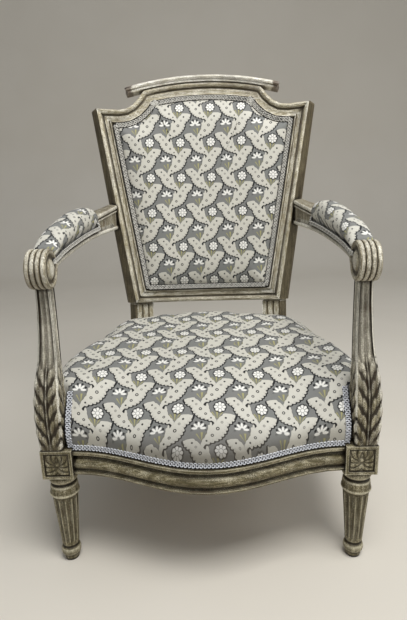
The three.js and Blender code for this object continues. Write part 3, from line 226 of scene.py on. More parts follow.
def merged_copy(node, name):
    """A copy of a solid's mesh with its loose triangles joined where they meet."""
    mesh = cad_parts[node].data.copy()
    mesh.name = name
    mesh.materials.clear()
    work = bmesh.new()
    work.from_mesh(mesh)
    bmesh.ops.remove_doubles(work, verts=work.verts, dist=2e-5)
    work.to_mesh(mesh)
    work.free()
    return linked(name, mesh)


SHARP = math.radians(22.0)


def carved_copy(node, finish):
    """A rigid solid's own shape, shaded smooth except where its faces turn sharply."""
    piece = merged_copy(node, node + "_skin")
    shade_smooth(piece.data)
    piece.data.set_sharp_from_angle(angle=SHARP)
    dress(piece, finish, (node,))
    return piece


def evaluated(piece):
    """Puts the result of a piece's modifiers into its mesh and removes them."""
    graph = bpy.context.evaluated_depsgraph_get()
    graph.update()
    mesh = bpy.data.meshes.new_from_object(piece.evaluated_get(graph), depsgraph=graph)
    piece.modifiers.clear()
    old, name = piece.data, piece.data.name
    piece.data = mesh
    bpy.data.meshes.remove(old)
    mesh.name = name


def rows_of(collection, field):
    """A field of a mesh's vertices or faces as an array, three numbers a row."""
    values = np.empty(len(collection) * 3)
    collection.foreach_get(field, values)
    return values.reshape(-1, 3)


def points_of(piece):
    """The piece's vertices as an array in metres."""
    return rows_of(piece.data.vertices, "co")


def move_points(piece, points):
    """Puts the piece's vertices at these places in metres."""
    piece.data.vertices.foreach_set("co", np.ascontiguousarray(points).ravel())
    piece.data.update()


# Finishes.

def tint(code):
    """A written colour as the linear values that a shader takes."""
    parts = [int(code[i:i + 2], 16) / 255 for i in (0, 2, 4)]
    linear = [p / 12.92 if p <= 0.04045 else ((p + 0.055) / 1.055) ** 2.4 for p in parts]
    return (*linear, 1.0)


def worked(operation, swapped=False):
    """A method that works one sum out by a node."""
    def sum_of(self, *others):
        values = (self, *others)
        return self.finish.math(operation, *(reversed(values) if swapped else values))
    return sum_of


class Value:
    """A number that a shader works out, so that sums on it are written as sums."""

    def __init__(self, finish, socket):
        self.finish, self.socket = finish, socket

    __add__ = worked("ADD")
    __radd__ = worked("ADD", True)
    __sub__ = worked("SUBTRACT")
    __rsub__ = worked("SUBTRACT", True)
    __mul__ = worked("MULTIPLY")
    __rmul__ = worked("MULTIPLY", True)
    __truediv__ = worked("DIVIDE")
    __pow__ = worked("POWER")
    __abs__ = worked("ABSOLUTE")
    sin = worked("SINE")
    cos = worked("COSINE")
    root = worked("SQRT")
    floor = worked("FLOOR")
    least = worked("MINIMUM")
    most = worked("MAXIMUM")

    def inside(self, soft):
        """1 where the number is above zero, 0 below, over a soft step of this width."""
        return self.step(-soft / 2, soft / 2)

    def step(self, low, high):
        """0 below low, 1 above high, smooth between them."""
        made = self.finish.node("MapRange", {"Value": self, "From Min": low, "From Max": high},
                                interpolation_type="SMOOTHSTEP")
        return Value(self.finish, made.outputs["Result"])

    def fold(self, period):
        """The distance to the nearest whole number of periods, signed."""
        return self - period * (self / period + 0.5).floor()


def distance(x, y):
    """Length of the way from the origin to a place, in a shader."""
    return (x ** 2 + y ** 2).root()


class Finish:
    """One material and the nodes that it is made of."""

    def __init__(self, name):
        self.material = bpy.data.materials.new(name)
        self.material.use_nodes = True
        self.tree = self.material.node_tree
        self.tree.nodes.clear()
        self.place = self.node("TexCoord").outputs["Object"]

    def node(self, kind, inputs=None, **settings):
        """Any node: its settings first, then its sockets, each a value or a link."""
        made = self.tree.nodes.new("ShaderNode" + kind)
        for name, value in settings.items():
            setattr(made, name, value)
        for name, value in (inputs or {}).items():
            if isinstance(value, Value):
                value = value.socket
            if isinstance(value, bpy.types.NodeSocket):
                self.tree.links.new(value, made.inputs[name])
            else:
                made.inputs[name].default_value = value
        return made

    def math(self, operation, *values):
        """One sum, of values or numbers."""
        made = self.node("Math", dict(enumerate(values)), operation=operation)
        return Value(self, made.outputs[0])

    def mix(self, factor, first, second):
        """The first colour where the factor is 0 and the second where it is 1."""
        made = self.node("Mix", {0: factor, 6: first, 7: second}, data_type="RGBA", clamp_factor=True)
        return made.outputs[2]

    def table(self, value, pairs, low, high):
        """Looks a number up in pairs of (number, result), results between low and high."""
        first, last = pairs[0][0], pairs[-1][0]
        made = self.node("ValToRGB", {0: (value - first) / (last - first)})
        ramp = made.color_ramp
        ramp.interpolation = "CARDINAL"
        while len(ramp.elements) < len(pairs):
            ramp.elements.new(0.5)
        for element, (at, result) in zip(ramp.elements, pairs):
            grey = (result - low) / (high - low)
            element.position = (at - first) / (last - first)
            element.color = (grey, grey, grey, 1.0)
        return Value(self, made.outputs[0]) * (high - low) + low

    def parts(self, place):
        """The three numbers of a place."""
        made = self.node("SeparateXYZ", {0: place})
        return [Value(self, made.outputs[k]) for k in range(3)]

    def cloth(self):
        """The place on the cloth, in millimetres."""
        return self.node("UVMap", uv_map="UVMap").outputs[0]

    def noise(self, scale, stretch=(1, 1, 1), detail=3.0, rough=0.55, place=None):
        """Soft random mottling, drawn out along an axis by a small stretch."""
        where = self.node("Mapping", {"Vector": place or self.place, "Scale": stretch}).outputs[0]
        inputs = {"Vector": where, "Scale": scale, "Detail": detail, "Roughness": rough}
        return Value(self, self.node("TexNoise", inputs).outputs[0])

    def bump(self, height, depth, **normal):
        """A height from 0 to 1 as a relief of this depth in metres."""
        return self.node("Bump", {"Height": height, "Distance": depth, "Strength": 1.0, **normal}).outputs[0]

    def close(self, colour, roughness, normal=None, **fixed):
        """The surface shader and the output; fixed values stay on the shader's sockets."""
        inputs = {"Base Color": colour, "Roughness": roughness}
        if normal is not None:
            inputs["Normal"] = normal
        inputs.update({name.replace("_", " "): value for name, value in fixed.items()})
        shader = self.node("BsdfPrincipled", inputs)
        self.node("OutputMaterial", {"Surface": shader.outputs[0]})
        return self.material


def painted_wood(name, colours, grain, wear, dirt_and_shade, broken=0.0, paler_heights=None):
    """Old paint: streaked along the grain, dark in the hollows with dirt and painted shade, pale
    on ridges with kept paint and a painted highlight, worn in flecks. Broken is the distance
    from the middle beyond which the wood is bare; paler_heights names two heights between
    which the paint grows paler upwards."""
    bright, light, middle, dark, wood = (tint(code) for code in colours)
    look = Finish(name)
    stretch = [1.0, 1.0, 1.0]
    stretch[grain] = 0.09
    streaks = look.noise(420, stretch, 4, 0.6)
    broad = look.noise(150, stretch, 3, 0.6)
    patches = look.noise(24, detail=4, rough=0.6)
    specks = look.noise(700, detail=2, rough=0.6)
    rounded = look.node("Bevel", {"Radius": 0.0008}, samples=4).outputs[0]
    shade = Value(look, look.node("AmbientOcclusion", {"Distance": 0.008}, samples=8).outputs["AO"])
    within = look.node("AmbientOcclusion", {"Distance": 0.003}, samples=8, inside=True).outputs["AO"]
    carved = Value(look, look.node("Attribute", attribute_name="hollow").outputs["Fac"])
    # Hollows, found by ambient occlusion and by the hollow attribute, get dirt and painted shade.
    hollow = (1.0 - shade).step(0.04, 0.38).most(carved)
    # Ridges, found by inner occlusion and by the hollow attribute, get kept paint and a painted highlight.
    ridge = (1.0 - Value(look, within)).step(0.1, 0.5) * (1.0 - hollow)
    ridge = ridge.most((0 - carved).step(0.2, 1.0))
    colour = look.mix((streaks * 0.6 + broad * 0.5).step(0.44, 0.66), middle, light)
    # Paler paint towards the top, between the two heights.
    if paler_heights:
        left = look.parts(look.place)[2].step(*paler_heights) * (0.25 + streaks)
        colour = look.mix(left * 0.8, colour, bright)
    colour = look.mix((patches * 0.7 + broad * 0.4).step(0.5, 0.72) * 0.4, colour, dark)
    # Kept paint and a painted highlight on the ridges.
    colour = look.mix(ridge * (0.5 + streaks * 0.8), colour, bright)
    chips = (specks * 0.7 + broad * 0.5).step(0.62, 0.72)
    colour = look.mix(chips * 0.5, colour, bright)
    rubbed = (0.62 - specks * 0.6 - streaks * 0.5).step(0.0, 0.1)
    colour = look.mix(rubbed * 0.45, colour, dark)
    # Dirt and painted shade darken the hollows.
    colour = look.mix(hollow * dirt_and_shade * (0.65 + streaks * 0.6), colour, dark)
    flecks = (specks * 0.55 + streaks * 0.6 + patches * 0.35 - 1.0 + wear * 0.3).step(0.0, 0.06)
    if broken:
        along = abs(look.parts(look.place)[0])
        flecks = flecks.most((along + broad * 0.012 - broken).step(0.004, 0.009))
    colour = look.mix(flecks * 0.8, colour, wood)
    relief = look.bump(streaks * 0.5 + broad * 0.4 - flecks * 0.6, 0.0007, Normal=rounded)
    return look.close(colour, 0.5 + patches * 0.22, relief, Specular_IOR_Level=0.4)


# Repeat of the woven pattern in millimetres.
REPEAT_WIDE, REPEAT_HIGH = 71.4, 78.6
# Leaf drawn from the dot at its tip along the line to the dot at its tail: how far its
# inner and its scalloped outer edge lie from that line, then its rings (place along and
# across, size, strength) and its dots (place along and across, size).
LEAF_INNER = [
    (-14, 11), (-12.6, 8), (-11, 3.4), (-8, -2), (-4, -6), (2, -6.6), (7, -7.8), (13, -7),
    (22.5, -8), (25.5, -12.4), (31, -9.6), (37, -6.6), (45, -5.6), (52, -5), (57, -2.5), (61, 3),
]
LEAF_OUTER = [
    (-14, 9), (-12.6, 10.4), (-10, 11.2), (-5, 11.4), (2, 11), (8, 9.6), (12, 11.6), (16, 13.4),
    (24, 14), (33, 13.2), (40, 10), (46, 6.4), (52, 3.6), (57, 3.6), (61, 5),
]
LEAF_WIDEST = 16
LEAF_RINGS = [(9.5, 0.0, 1.9, 0.55), (21.6, 1.2, 2.7, 1.0), (35.0, 1.2, 2.3, 0.9)]
LEAF_DOTS = [(0.0, 0.0, 1.7), (46.9, 0.0, 1.5)]
# Each of the two leaves of a repeat: its tip from the flower, its line's direction and size.
LEAF = ((-46.6, 13.4), (0.665, -0.746), 1.0)
MIRRORED_LEAF = ((-45.0, 18.0), (0.615, -0.788), 1.109)
LEAF_SHIFT_WIDE, LEAF_SHIFT_HIGH = 31.0, 1.0
SCALLOP, SCALLOP_DEEP = 5.9, 2.8
BUD_ALONG, BUD_ACROSS = 56.3, 8.7
PETAL_REACH, PETAL_SWING = 8.3, 1.5
FAN_TURN = 0.74
# Painted shade and soiling of the seat's cover above its front foot, darker towards the bottom: strongest
# below the first length.
SHADE_AND_SOIL_COLOUR = "4A4339"
SHADE_AND_SOIL_RUN = (22, 92)


def patterned_cloth(name, ground, leaf, line, green, right, up, shade_and_soil=0.0):
    """A woven stripe of scalloped leaves with a rosette above each and a fan between."""
    look = Finish(name)
    u, v, _ = look.parts(look.cloth())
    weave = look.noise(1.0, (0.9, 0.9, 0.9), 2.0, place=look.cloth())
    broad = look.noise(9.0, detail=2.0)

    def flower_place(mirror):
        """The place from a rosette, or mirrored from the fan half a repeat on."""
        if mirror:
            return (right + REPEAT_WIDE / 2) - u, v - (up + REPEAT_HIGH / 2)
        return u - right, v - up

    def leaf_parts(mirror):
        """Fill, dark edge and marks of a leaf, from its place along and across its line."""
        x, y = flower_place(mirror)
        tip, way, size = MIRRORED_LEAF if mirror else LEAF
        x = (x + LEAF_SHIFT_WIDE).fold(REPEAT_WIDE) - (LEAF_SHIFT_WIDE + tip[0])
        y = (y - LEAF_SHIFT_HIGH).fold(REPEAT_HIGH) + (LEAF_SHIFT_HIGH - tip[1])
        along = (x * way[0] + y * way[1]) / size
        across = (x * way[1] - y * way[0]) / size
        inner = look.table(along, LEAF_INNER, -LEAF_WIDEST, LEAF_WIDEST)
        outer = look.table(along, LEAF_OUTER, -LEAF_WIDEST, LEAF_WIDEST)
        wave = abs((along * (math.pi / SCALLOP) + 0.6).sin())
        frilled = (along + 8).step(-3, 3) * (52 - along).step(-3, 3)
        rim = outer - SCALLOP_DEEP / 2 + wave * frilled * SCALLOP_DEEP - across
        lobes = abs((along * (math.pi / 7.5)).sin()) * 0.8
        ends = (along + 13.4).least(60.5 - along)
        fill = rim.least(across - inner + lobes).least(ends).inside(0.8)
        beyond = (0.3 - rim).least(rim + 3.6 - wave * frilled * 1.3)
        dark = beyond.least(ends + 1.0).inside(0.8)
        thin = (0.5 - abs(across - inner + lobes + 0.3)).least(ends).inside(0.7) * 0.35
        marks = (0.45 - abs(rim - 2.9 + wave * 0.8)).inside(0.9) * frilled * 0.22
        for at, side, wide, weight in LEAF_RINGS:
            far = distance(along - at, across - side)
            marks = marks.most((0.75 - abs(far - wide * 0.75)).inside(0.5) * weight)
        for at, side, wide in LEAF_DOTS:
            far = distance(along - at, across - side)
            marks = marks.most((wide - far).inside(0.5))
        bud_x, bud_y = along - BUD_ALONG, across - BUD_ACROSS
        bud_long = (bud_x * 0.746 + bud_y * 0.665) / 5.0
        bud_wide = (bud_x * 0.665 - bud_y * 0.746) / 1.9
        bud = (1 - distance(bud_long, bud_wide)).inside(0.35)
        curl = abs((bud_long ** 2 * 0.55 + bud_wide ** 2 * 0.3).root() - 1.1)
        hook = (0.5 - curl).least(bud_wide + 0.6).inside(0.4)
        return fill.most(bud), dark.most(thin).most(hook), marks

    def greens(mirror):
        """Blades that fan up from a point below the flower."""
        x, y = flower_place(mirror)
        x = (x + 5).fold(REPEAT_WIDE)
        y = (y + 24).fold(REPEAT_HIGH)
        far = distance(x, y)
        turn = look.math("ARCTAN2", x, y)
        blade = (0.66 - abs(turn)).least((16.5 - far) * 0.1).least((far - 1.5) * 0.3).inside(0.2)
        return blade, (turn * 10).cos()

    def rosette():
        """Eight petals round a ringed eye, with a dark frilled outline."""
        x, y = flower_place(False)
        x, y = x.fold(REPEAT_WIDE), y.fold(REPEAT_HIGH)
        far = distance(x, y)
        turn = look.math("ARCTAN2", y, x)
        swing = abs((turn * 4).cos())
        reach = PETAL_REACH + PETAL_SWING * swing
        petal = (reach - far).inside(0.7)
        gaps = (0.42 - swing).inside(0.3) * (far - 4.4).inside(0.8) * 0.8
        eye = (0.6 - abs(far - 3.6)).inside(0.6) * 0.75
        frill = 0.35 + 0.65 * abs((turn * 4).sin())
        outline = (1.5 - abs(far - reach - 1.1)).inside(0.9) * frill
        return petal, gaps.most(eye), outline * (1 - petal)

    def fan():
        """Five long petals spread upwards with dark seeds between their tips."""
        x, y = flower_place(True)
        x = x.fold(REPEAT_WIDE)
        y = (y + 1.5).fold(REPEAT_HIGH)
        far = distance(x, y)
        turn = look.math("ARCTAN2", x, y)
        near = turn.fold(FAN_TURN)
        oval = 1 - ((far - 7.4) / 4.9) ** 2 - (near * far / 2.1) ** 2
        petal = oval.least(1.8 - abs(turn)).inside(0.35)
        between = (turn - FAN_TURN / 2).fold(FAN_TURN)
        seed = (2.1 - distance(far - 12.4, between * far)).least(1.75 - abs(turn)).inside(0.7)
        return petal, seed

    fill_a, dark_a, marks_a = leaf_parts(False)
    fill_b, dark_b, marks_b = leaf_parts(True)
    blade_a, stripe_a = greens(False)
    blade_b, stripe_b = greens(True)
    petals, petal_lines, petal_edge = rosette()
    fans, seeds = fan()
    leaves = fill_a.most(fill_b)
    stripes = stripe_a * blade_a + stripe_b * blade_b
    grass = look.mix(stripes.step(-0.2, 0.7), tint(green[0]), tint(green[1]))
    cream = look.mix(weave.step(0.35, 0.75) * 0.5, tint(leaf[0]), tint(leaf[1]))
    white, ink = tint(leaf[2]), tint(line)
    base = look.mix(weave.step(0.3, 0.7) * 0.35, tint(ground[0]), tint(ground[1]))
    layers = [
        (broad.step(0.4, 0.62) * 0.4, tint(ground[2])),
        (blade_a.most(blade_b) * (0.45 + 0.4 * stripes), grass),
        (dark_a.most(dark_b), ink), (leaves, cream), (marks_a * fill_a, ink), (marks_b * fill_b, ink),
        (petal_edge, ink), (petals.most(fans), white), (petal_lines * petals * 0.8, ink), (seeds, ink),
    ]
    # Painted shade, with soiling, darkens the seat's front flank towards its foot.
    if shade_and_soil:
        layers.append(((1 - v.step(*SHADE_AND_SOIL_RUN)) * shade_and_soil, tint(SHADE_AND_SOIL_COLOUR)))
    for share, colour in layers:
        base = look.mix(share, base, colour)
    raised = leaves.most(petals).most(fans)
    threads = (u * (2 * math.pi / 1.1)).sin() * 0.25 + (v * (2 * math.pi / 1.3)).sin() * 0.25
    relief = look.bump(raised * 0.6 + threads * 0.25 + weave * 0.3, 0.0006)
    return look.close(base, 0.7 - raised * 0.16, relief, Sheen_Weight=0.08, Sheen_Roughness=0.5,
                      Specular_IOR_Level=0.35)


def woven_band(name, thread, gap, pitch):
    """Plain weave: threads over and under each other, from the place along two axes."""
    look = Finish(name)
    x, y, z = look.parts(look.place)
    turn = 2 * math.pi / (pitch * MM)
    warp, weft = (x * turn).sin(), (y * turn + z * turn).sin()
    height = (warp * weft) * 0.5 + 0.5
    colour = look.mix(height * 0.6 + look.noise(60) * 0.4, tint(gap), tint(thread))
    return look.close(colour, 0.85, look.bump(height, 0.0005), Sheen_Weight=0.1)


def cord_yarn(name, light, dark):
    """Twisted yarn: slanting bright and dark strands along the cord."""
    look = Finish(name)
    u, v, _ = look.parts(look.cloth())
    twist = (u * 3.2 + v * 6.28).sin() * 0.5 + 0.5
    colour = look.mix(twist * 0.55 + look.noise(300) * 0.4, tint(dark), tint(light))
    return look.close(colour, 0.7, look.bump(twist, 0.0003), Sheen_Weight=0.2)


def plain_ground(name, light, dark):
    """The studio's floor and backdrop, with the faintest mottling."""
    look = Finish(name)
    soft = look.noise(2.0, detail=2.0)
    shade = look.mix(soft.step(0.3, 0.7) * 0.25, tint(light), tint(dark))
    return look.close(shade, 0.9, Specular_IOR_Level=0.1)


# Paints: the colours of what is bright, light, middle, dark and bare, then the axis of the
# grain, the wear, and the dirt and painted shade in the hollows.
PALE_COLOURS = ("FFFCEE", "E6DFC8", "B5AA8A", "3F3523", "6A5135")
DULL_COLOURS = ("DDD5B8", "958B6C", "625939", "241D0F", "4F3A24")
SUPPORT_COLOURS = ("F8F3E2", "B1A788", "736946", "281F12", "4F3A24")
ROLL_COLOURS = ("FBF7E8", "D0C8AE", "93876A", "2B2215", "604528")
SHADED_SIDE_COLOURS = ("8A7F64", "71674C", "50462C", "251E10", "513C26")
CAP_COLOURS = ("FFFDF2", "FCF9EE", "E6E0CD", "5A503C", "4A3522")
SHADED_LOW_COLOURS = ("EDE9D8", "C9C2AB", "9A9075", "352C1C", "5E4830")
BARE_COLOURS = ("A5845C", "8A6B48", "775A3A", "4C3722", "5E442A")
PAINT = [painted_wood("pale_paint_" + letter, PALE_COLOURS, axis, 0.5, 0.95)
         for axis, letter in enumerate("xyz")]
OLD_PAINT = [painted_wood("dull_paint_" + letter, DULL_COLOURS, axis, 0.55, 1.0)
             for axis, letter in enumerate("xyz")]
SUPPORT_PAINT = painted_wood("support_paint", SUPPORT_COLOURS, 2, 0.55, 1.0, paler_heights=(0.3, 0.44))
ROLL_PAINT = painted_wood("roll_paint", ROLL_COLOURS, 2, 0.6, 1.0)
# A darker copy of the paint for the stiles' sides and the necks' flutes: painted shade.
SHADED_SIDE_PAINT = painted_wood("shaded_side_paint", SHADED_SIDE_COLOURS, 2, 0.6, 0.9)
CAP_PAINT = painted_wood("cap_paint", CAP_COLOURS, 0, 0.35, 0.6, broken=0.158)
# A darker copy of the pale paint for the lower back rail, whose face tilts up to the light: painted shade.
SHADED_LOW_PAINT = painted_wood("shaded_low_paint", SHADED_LOW_COLOURS, 0, 0.5, 0.95)
BARE = painted_wood("bare_wood", BARE_COLOURS, 1, 0.2, 0.5)
CLOTH_COLOURS = dict(ground=("7C7C79", "64635D", "757874"), leaf=("C9C6BA", "B8B4A8", "E6E4DC"),
                     line="0E0F11", green=("6C6944", "A9A36C"))
SEAT_CLOTH = patterned_cloth("seat_cloth", right=23.0, up=28.0, shade_and_soil=0.55, **CLOTH_COLOURS)
BACK_CLOTH = patterned_cloth("back_cloth", right=17.6, up=286.4, **CLOTH_COLOURS)
JUTE = woven_band("jute_webbing", "A88C5E", "5E4728", 3.0)
HESSIAN = woven_band("hessian", "B09A70", "5C4A2C", 2.2)
NEW_BRAID = (cord_yarn("blue_white_yarn", "F2F3F6", "A9ACB2"),
             woven_band("blue_braid_ground", "3C3E43", "232428", 1.6))
# A darker, greyer copy of the braid for the back and the arms: painted shade with dirt.
SHADED_SOILED_BRAID = (cord_yarn("grey_yarn", "EDEADF", "8A8780"),
             woven_band("grey_braid_ground", "35332F", "201E1B", 1.6))


# Frame.

STILE_LOW, NECK_LOW, NECK_HIGH = 0.41, 0.24, 0.405


def shade_sides(piece):
    """Painted shade: the stiles' outer sides and the sunk flutes of the necks, picked by the way their faces
    turn, get a darker paint.
    """
    piece.data.materials.append(SHADED_SIDE_PAINT)
    x, _, z = rows_of(piece.data.polygons, "center").T
    way_x, way_y, _ = rows_of(piece.data.polygons, "normal").T
    stile = (z > STILE_LOW) & (np.abs(way_x) > 0.55) & (way_x * x > 0)
    neck = (z > NECK_LOW) & (z < NECK_HIGH) & (np.abs(way_x) > 0.3) & (way_y < -0.3)
    piece.data.polygons.foreach_set("material_index", (stile | neck).astype(int))


carved_copy("crest_rail", PAINT[0])
for side_name, _ in SIDES:
    shade_sides(carved_copy("rear_post_" + side_name, PAINT[2]))
for node_name in ("front_seat_rail", "rear_seat_rail"):
    carved_copy(node_name, OLD_PAINT[0])
for side_name, _ in SIDES:
    carved_copy("side_seat_rail_" + side_name, OLD_PAINT[1])
carved_copy("crest_cap", CAP_PAINT)
# Painted shade: the lower back rail takes the darker copy of the pale paint.
carved_copy("lower_back_rail", SHADED_LOW_PAINT)
for node_name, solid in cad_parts.items():
    if "peg" in node_name:
        solid.data.materials.clear()
        solid.data.materials.append(BARE)


# Turning and carving.

# Turning of a front leg: heights as shares of the leg, radii as shares of its widest.
FRONT_TURNING = [
    (0, 0.5), (0.035, 0.56), (0.06, 0.56), (0.075, 0.68), (0.11, 0.73), (0.14, 0.68), (0.155, 0.53),
    (0.17, 0.54), (0.185, 0.62), (0.2, 0.63), (0.745, 0.92), (0.76, 0.93), (0.768, 0.99), (0.782, 1.06),
    (0.797, 1.06), (0.807, 0.99), (0.815, 1.0), (0.87, 0.97), (0.885, 0.94), (0.895, 0.8), (0.91, 0.79),
    (0.918, 0.92), (0.94, 1.02), (0.965, 1.05), (0.985, 1.02), (1.02, 1.0),
]
LEG_RADIUS = 25.0
LEG_STEPS, FLUTE_STEPS = 190, 16
FLUTES, FLUTE_DEPTH, FLUTE_HALF, FLUTE_HEAD = 12, 2.6, 0.41, 4.5
FLUTED_FROM, FLUTED_TO = 0.215, 0.74


def leg_grid(out):
    """A turned leg: rings whose radius follows the turning, hollowed by half-round flutes
    that end in round heads. Its second part says how hollow each point lies."""
    up = np.linspace(0, FRONT_TURNING[-1][0], LEG_STEPS)
    shares, wide = np.array(FRONT_TURNING).T
    reach = evened(np.interp(up, shares, wide), [0.25, 0.5, 0.25]) * LEG_RADIUS
    turn = np.linspace(0, 2 * np.pi, FLUTES * FLUTE_STEPS, endpoint=False)
    phase = (turn * FLUTES / (2 * np.pi) + 0.5) % 1 - 0.5
    hollow = half_round(phase, FLUTE_HALF)
    away = np.minimum(up - FLUTED_FROM, FLUTED_TO - up) * BLOCK_BOTTOM
    ends = half_round(1 - np.clip(away / FLUTE_HEAD, 0, 1), 1)
    radius = reach[:, None] - (FLUTE_DEPTH * ends * reach / LEG_RADIUS)[:, None] * hollow[None, :]
    centre = HALF_WIDTH - BLOCK / 2
    ends = ends[:, None]
    broad = evened(reach, np.ones(13) / 13)
    groove = np.clip((broad - reach) / 1.2, -1, 1)[:, None] * (1 - ends)
    land = np.clip((0.3 - hollow) * 3, 0, 1)[None, :] * ends
    sunk = hollow[None, :] * ends * 0.55 - land * 0.6 + groove
    points = np.stack([
        out * (centre + radius * np.cos(turn)), BLOCK / 2 + radius * np.sin(turn),
        np.broadcast_to((up * BLOCK_BOTTOM)[:, None], radius.shape),
    ], axis=-1)
    return points, sunk


PANEL_HALF, PANEL_DEPTH, PANEL_LIFT = 0.8, 2.6, 2.9
PANEL_BLADES, PANEL_SWEEP, PANEL_BOSS = 5, 5.5, 0.12
# Where the leaves begin and end, as shares of the way out from the boss.
LEAVES_FROM, LEAVES_TO = 0.18, 0.78
BLOCK_STEPS = 64


def foliage(u, v):
    """Relief of a block's panel, from -1 to 1 both ways: in a sunk square, leaves that sweep
    round from a boss in the middle, mirrored left and right."""
    reach = np.maximum(np.abs(u), np.abs(v))
    far = np.hypot(u, v)
    blades = np.abs(np.sin(PANEL_BLADES * np.arctan2(np.abs(u), v) + PANEL_SWEEP * far)) ** 0.7
    leaves = blades * np.clip((far - LEAVES_FROM) * 6, 0, 1) * (0.8 + 0.2 * np.cos(9 * far))
    leaves = leaves * np.clip((LEAVES_TO - reach) * 9, 0, 1)
    carved = -PANEL_DEPTH + PANEL_LIFT * np.maximum(leaves, bell(far, PANEL_BOSS))
    return np.where(reach < PANEL_HALF, carved, 0.0)


def block_grid(out):
    """The square block over a leg: rings round its four faces, two of them carved."""
    side = np.linspace(-1, 1, BLOCK_STEPS)
    up = side[:, None]
    half = BLOCK / 2
    front = foliage(*np.broadcast_arrays(side, up))
    plain = np.zeros_like(front)
    flat = np.broadcast_to(side * half, front.shape)
    faces = [(flat, -half - front), (half + front, flat), (-flat, half + plain), (-half - plain, -flat)]
    across, deep = (np.concatenate([face[k][:, :-1] for face in faces], axis=1) for k in range(2))
    depths = np.concatenate([relief[:, :-1] for relief in (front, front, plain, plain)], axis=1)
    high = (BLOCK_TOP + BLOCK_BOTTOM) / 2 + up * (BLOCK_TOP - BLOCK_BOTTOM) / 2
    points = np.stack([
        out * (HALF_WIDTH - half + across), half + deep, np.broadcast_to(high, across.shape),
    ], axis=-1)
    return points, np.clip(-depths / 2.4 - 0.25, -0.7, 0.9)


def add_wood(name, carvings, finish, slot, replaces, angle=35.0):
    """One mesh of several grids, each with its hollows."""
    all_points, all_faces, start = [], [], 0
    for grid, _ in carvings:
        points, faces = skin(grid)
        all_points.append(points)
        all_faces += [[int(c) + start for c in face] for face in faces]
        start += len(points)
    hollow = np.concatenate([sunk.ravel() for _, sunk in carvings])
    points = np.concatenate(all_points)
    piece = add_piece(name, points, all_faces, finish, slot, replaces=(replaces,), hollow=hollow)
    piece.data.set_sharp_from_angle(angle=math.radians(angle))


# Arm support: rows of height, inner and outer face, front and rear face as shares, then
# how much of the flutes and how much of the leaf there is.
SUPPORT_ROWS = [
    (0, -0.8, 0.9, 0.04, 0.85, 0, 0.2), (0.05, -0.87, 0.95, 0.01, 0.85, 0, 1),
    (0.1, -0.92, 0.98, -0.01, 0.85, 0, 1), (0.15, -0.95, 0.99, -0.03, 0.84, 0, 1),
    (0.2, -0.96, 0.99, -0.03, 0.83, 0, 1), (0.25, -0.96, 0.97, -0.02, 0.82, 0, 1),
    (0.3, -0.96, 0.93, 0.01, 0.82, 0, 1), (0.35, -0.96, 0.86, 0.06, 0.82, 0, 0.95),
    (0.4, -0.96, 0.77, 0.11, 0.82, 0, 0.85), (0.44, -0.97, 0.68, 0.15, 0.82, 0.1, 0.7),
    (0.48, -0.98, 0.58, 0.2, 0.82, 0.5, 0.45), (0.52, -0.99, 0.48, 0.23, 0.82, 1, 0.1),
    (0.64, -1.01, 0.3, 0.28, 0.83, 1, 0), (0.8, -1.02, 0.14, 0.29, 0.84, 1, 0),
    (1, -1.02, 0.05, 0.26, 0.84, 1, 0),
]
SUPPORT_LOW, SUPPORT_HIGH = 236.3, 548.0
SUPPORT_MIDDLE, SUPPORT_HALF, SUPPORT_DEPTH = 271.0, 23.0, 52.0
SUPPORT_FLUTES, SUPPORT_ROUND = 3, 4.5
SUPPORT_STEPS, FACE_STEPS = 190, 56
# Lobes of the leaf: how many fit on its height, and its columns' places and shifts.
LOBES = 10.5
LOBE_COLUMNS = ((0.3, 0.0), (0.74, 0.5), (1.1, 0.05))
LOBE_LONG, LOBE_WIDE, LOBE_FOOT = 0.56, 0.21, -1.2


def leaf_relief(up, away):
    """An acanthus leaf: a mid rib between two grooves, and beside it columns of long lobes
    that climb steeply outwards, each thick at its curled tip."""
    lift = np.full(np.broadcast(up, away).shape, LOBE_FOOT)
    for middle, shift in LOBE_COLUMNS:
        phase = up * LOBES + shift
        along = phase - np.floor(phase) - 0.5
        aside = away - middle - along * 0.34
        body = np.clip(1 - (along / LOBE_LONG) ** 2 - (aside / LOBE_WIDE) ** 2, 0, 1) ** 0.5
        lift = np.maximum(lift, body * (3.2 + 2.6 * along) + LOBE_FOOT)
    return lift + bell(away, 0.055) * 2.6 - bell(away - 0.13, 0.05) * 1.6


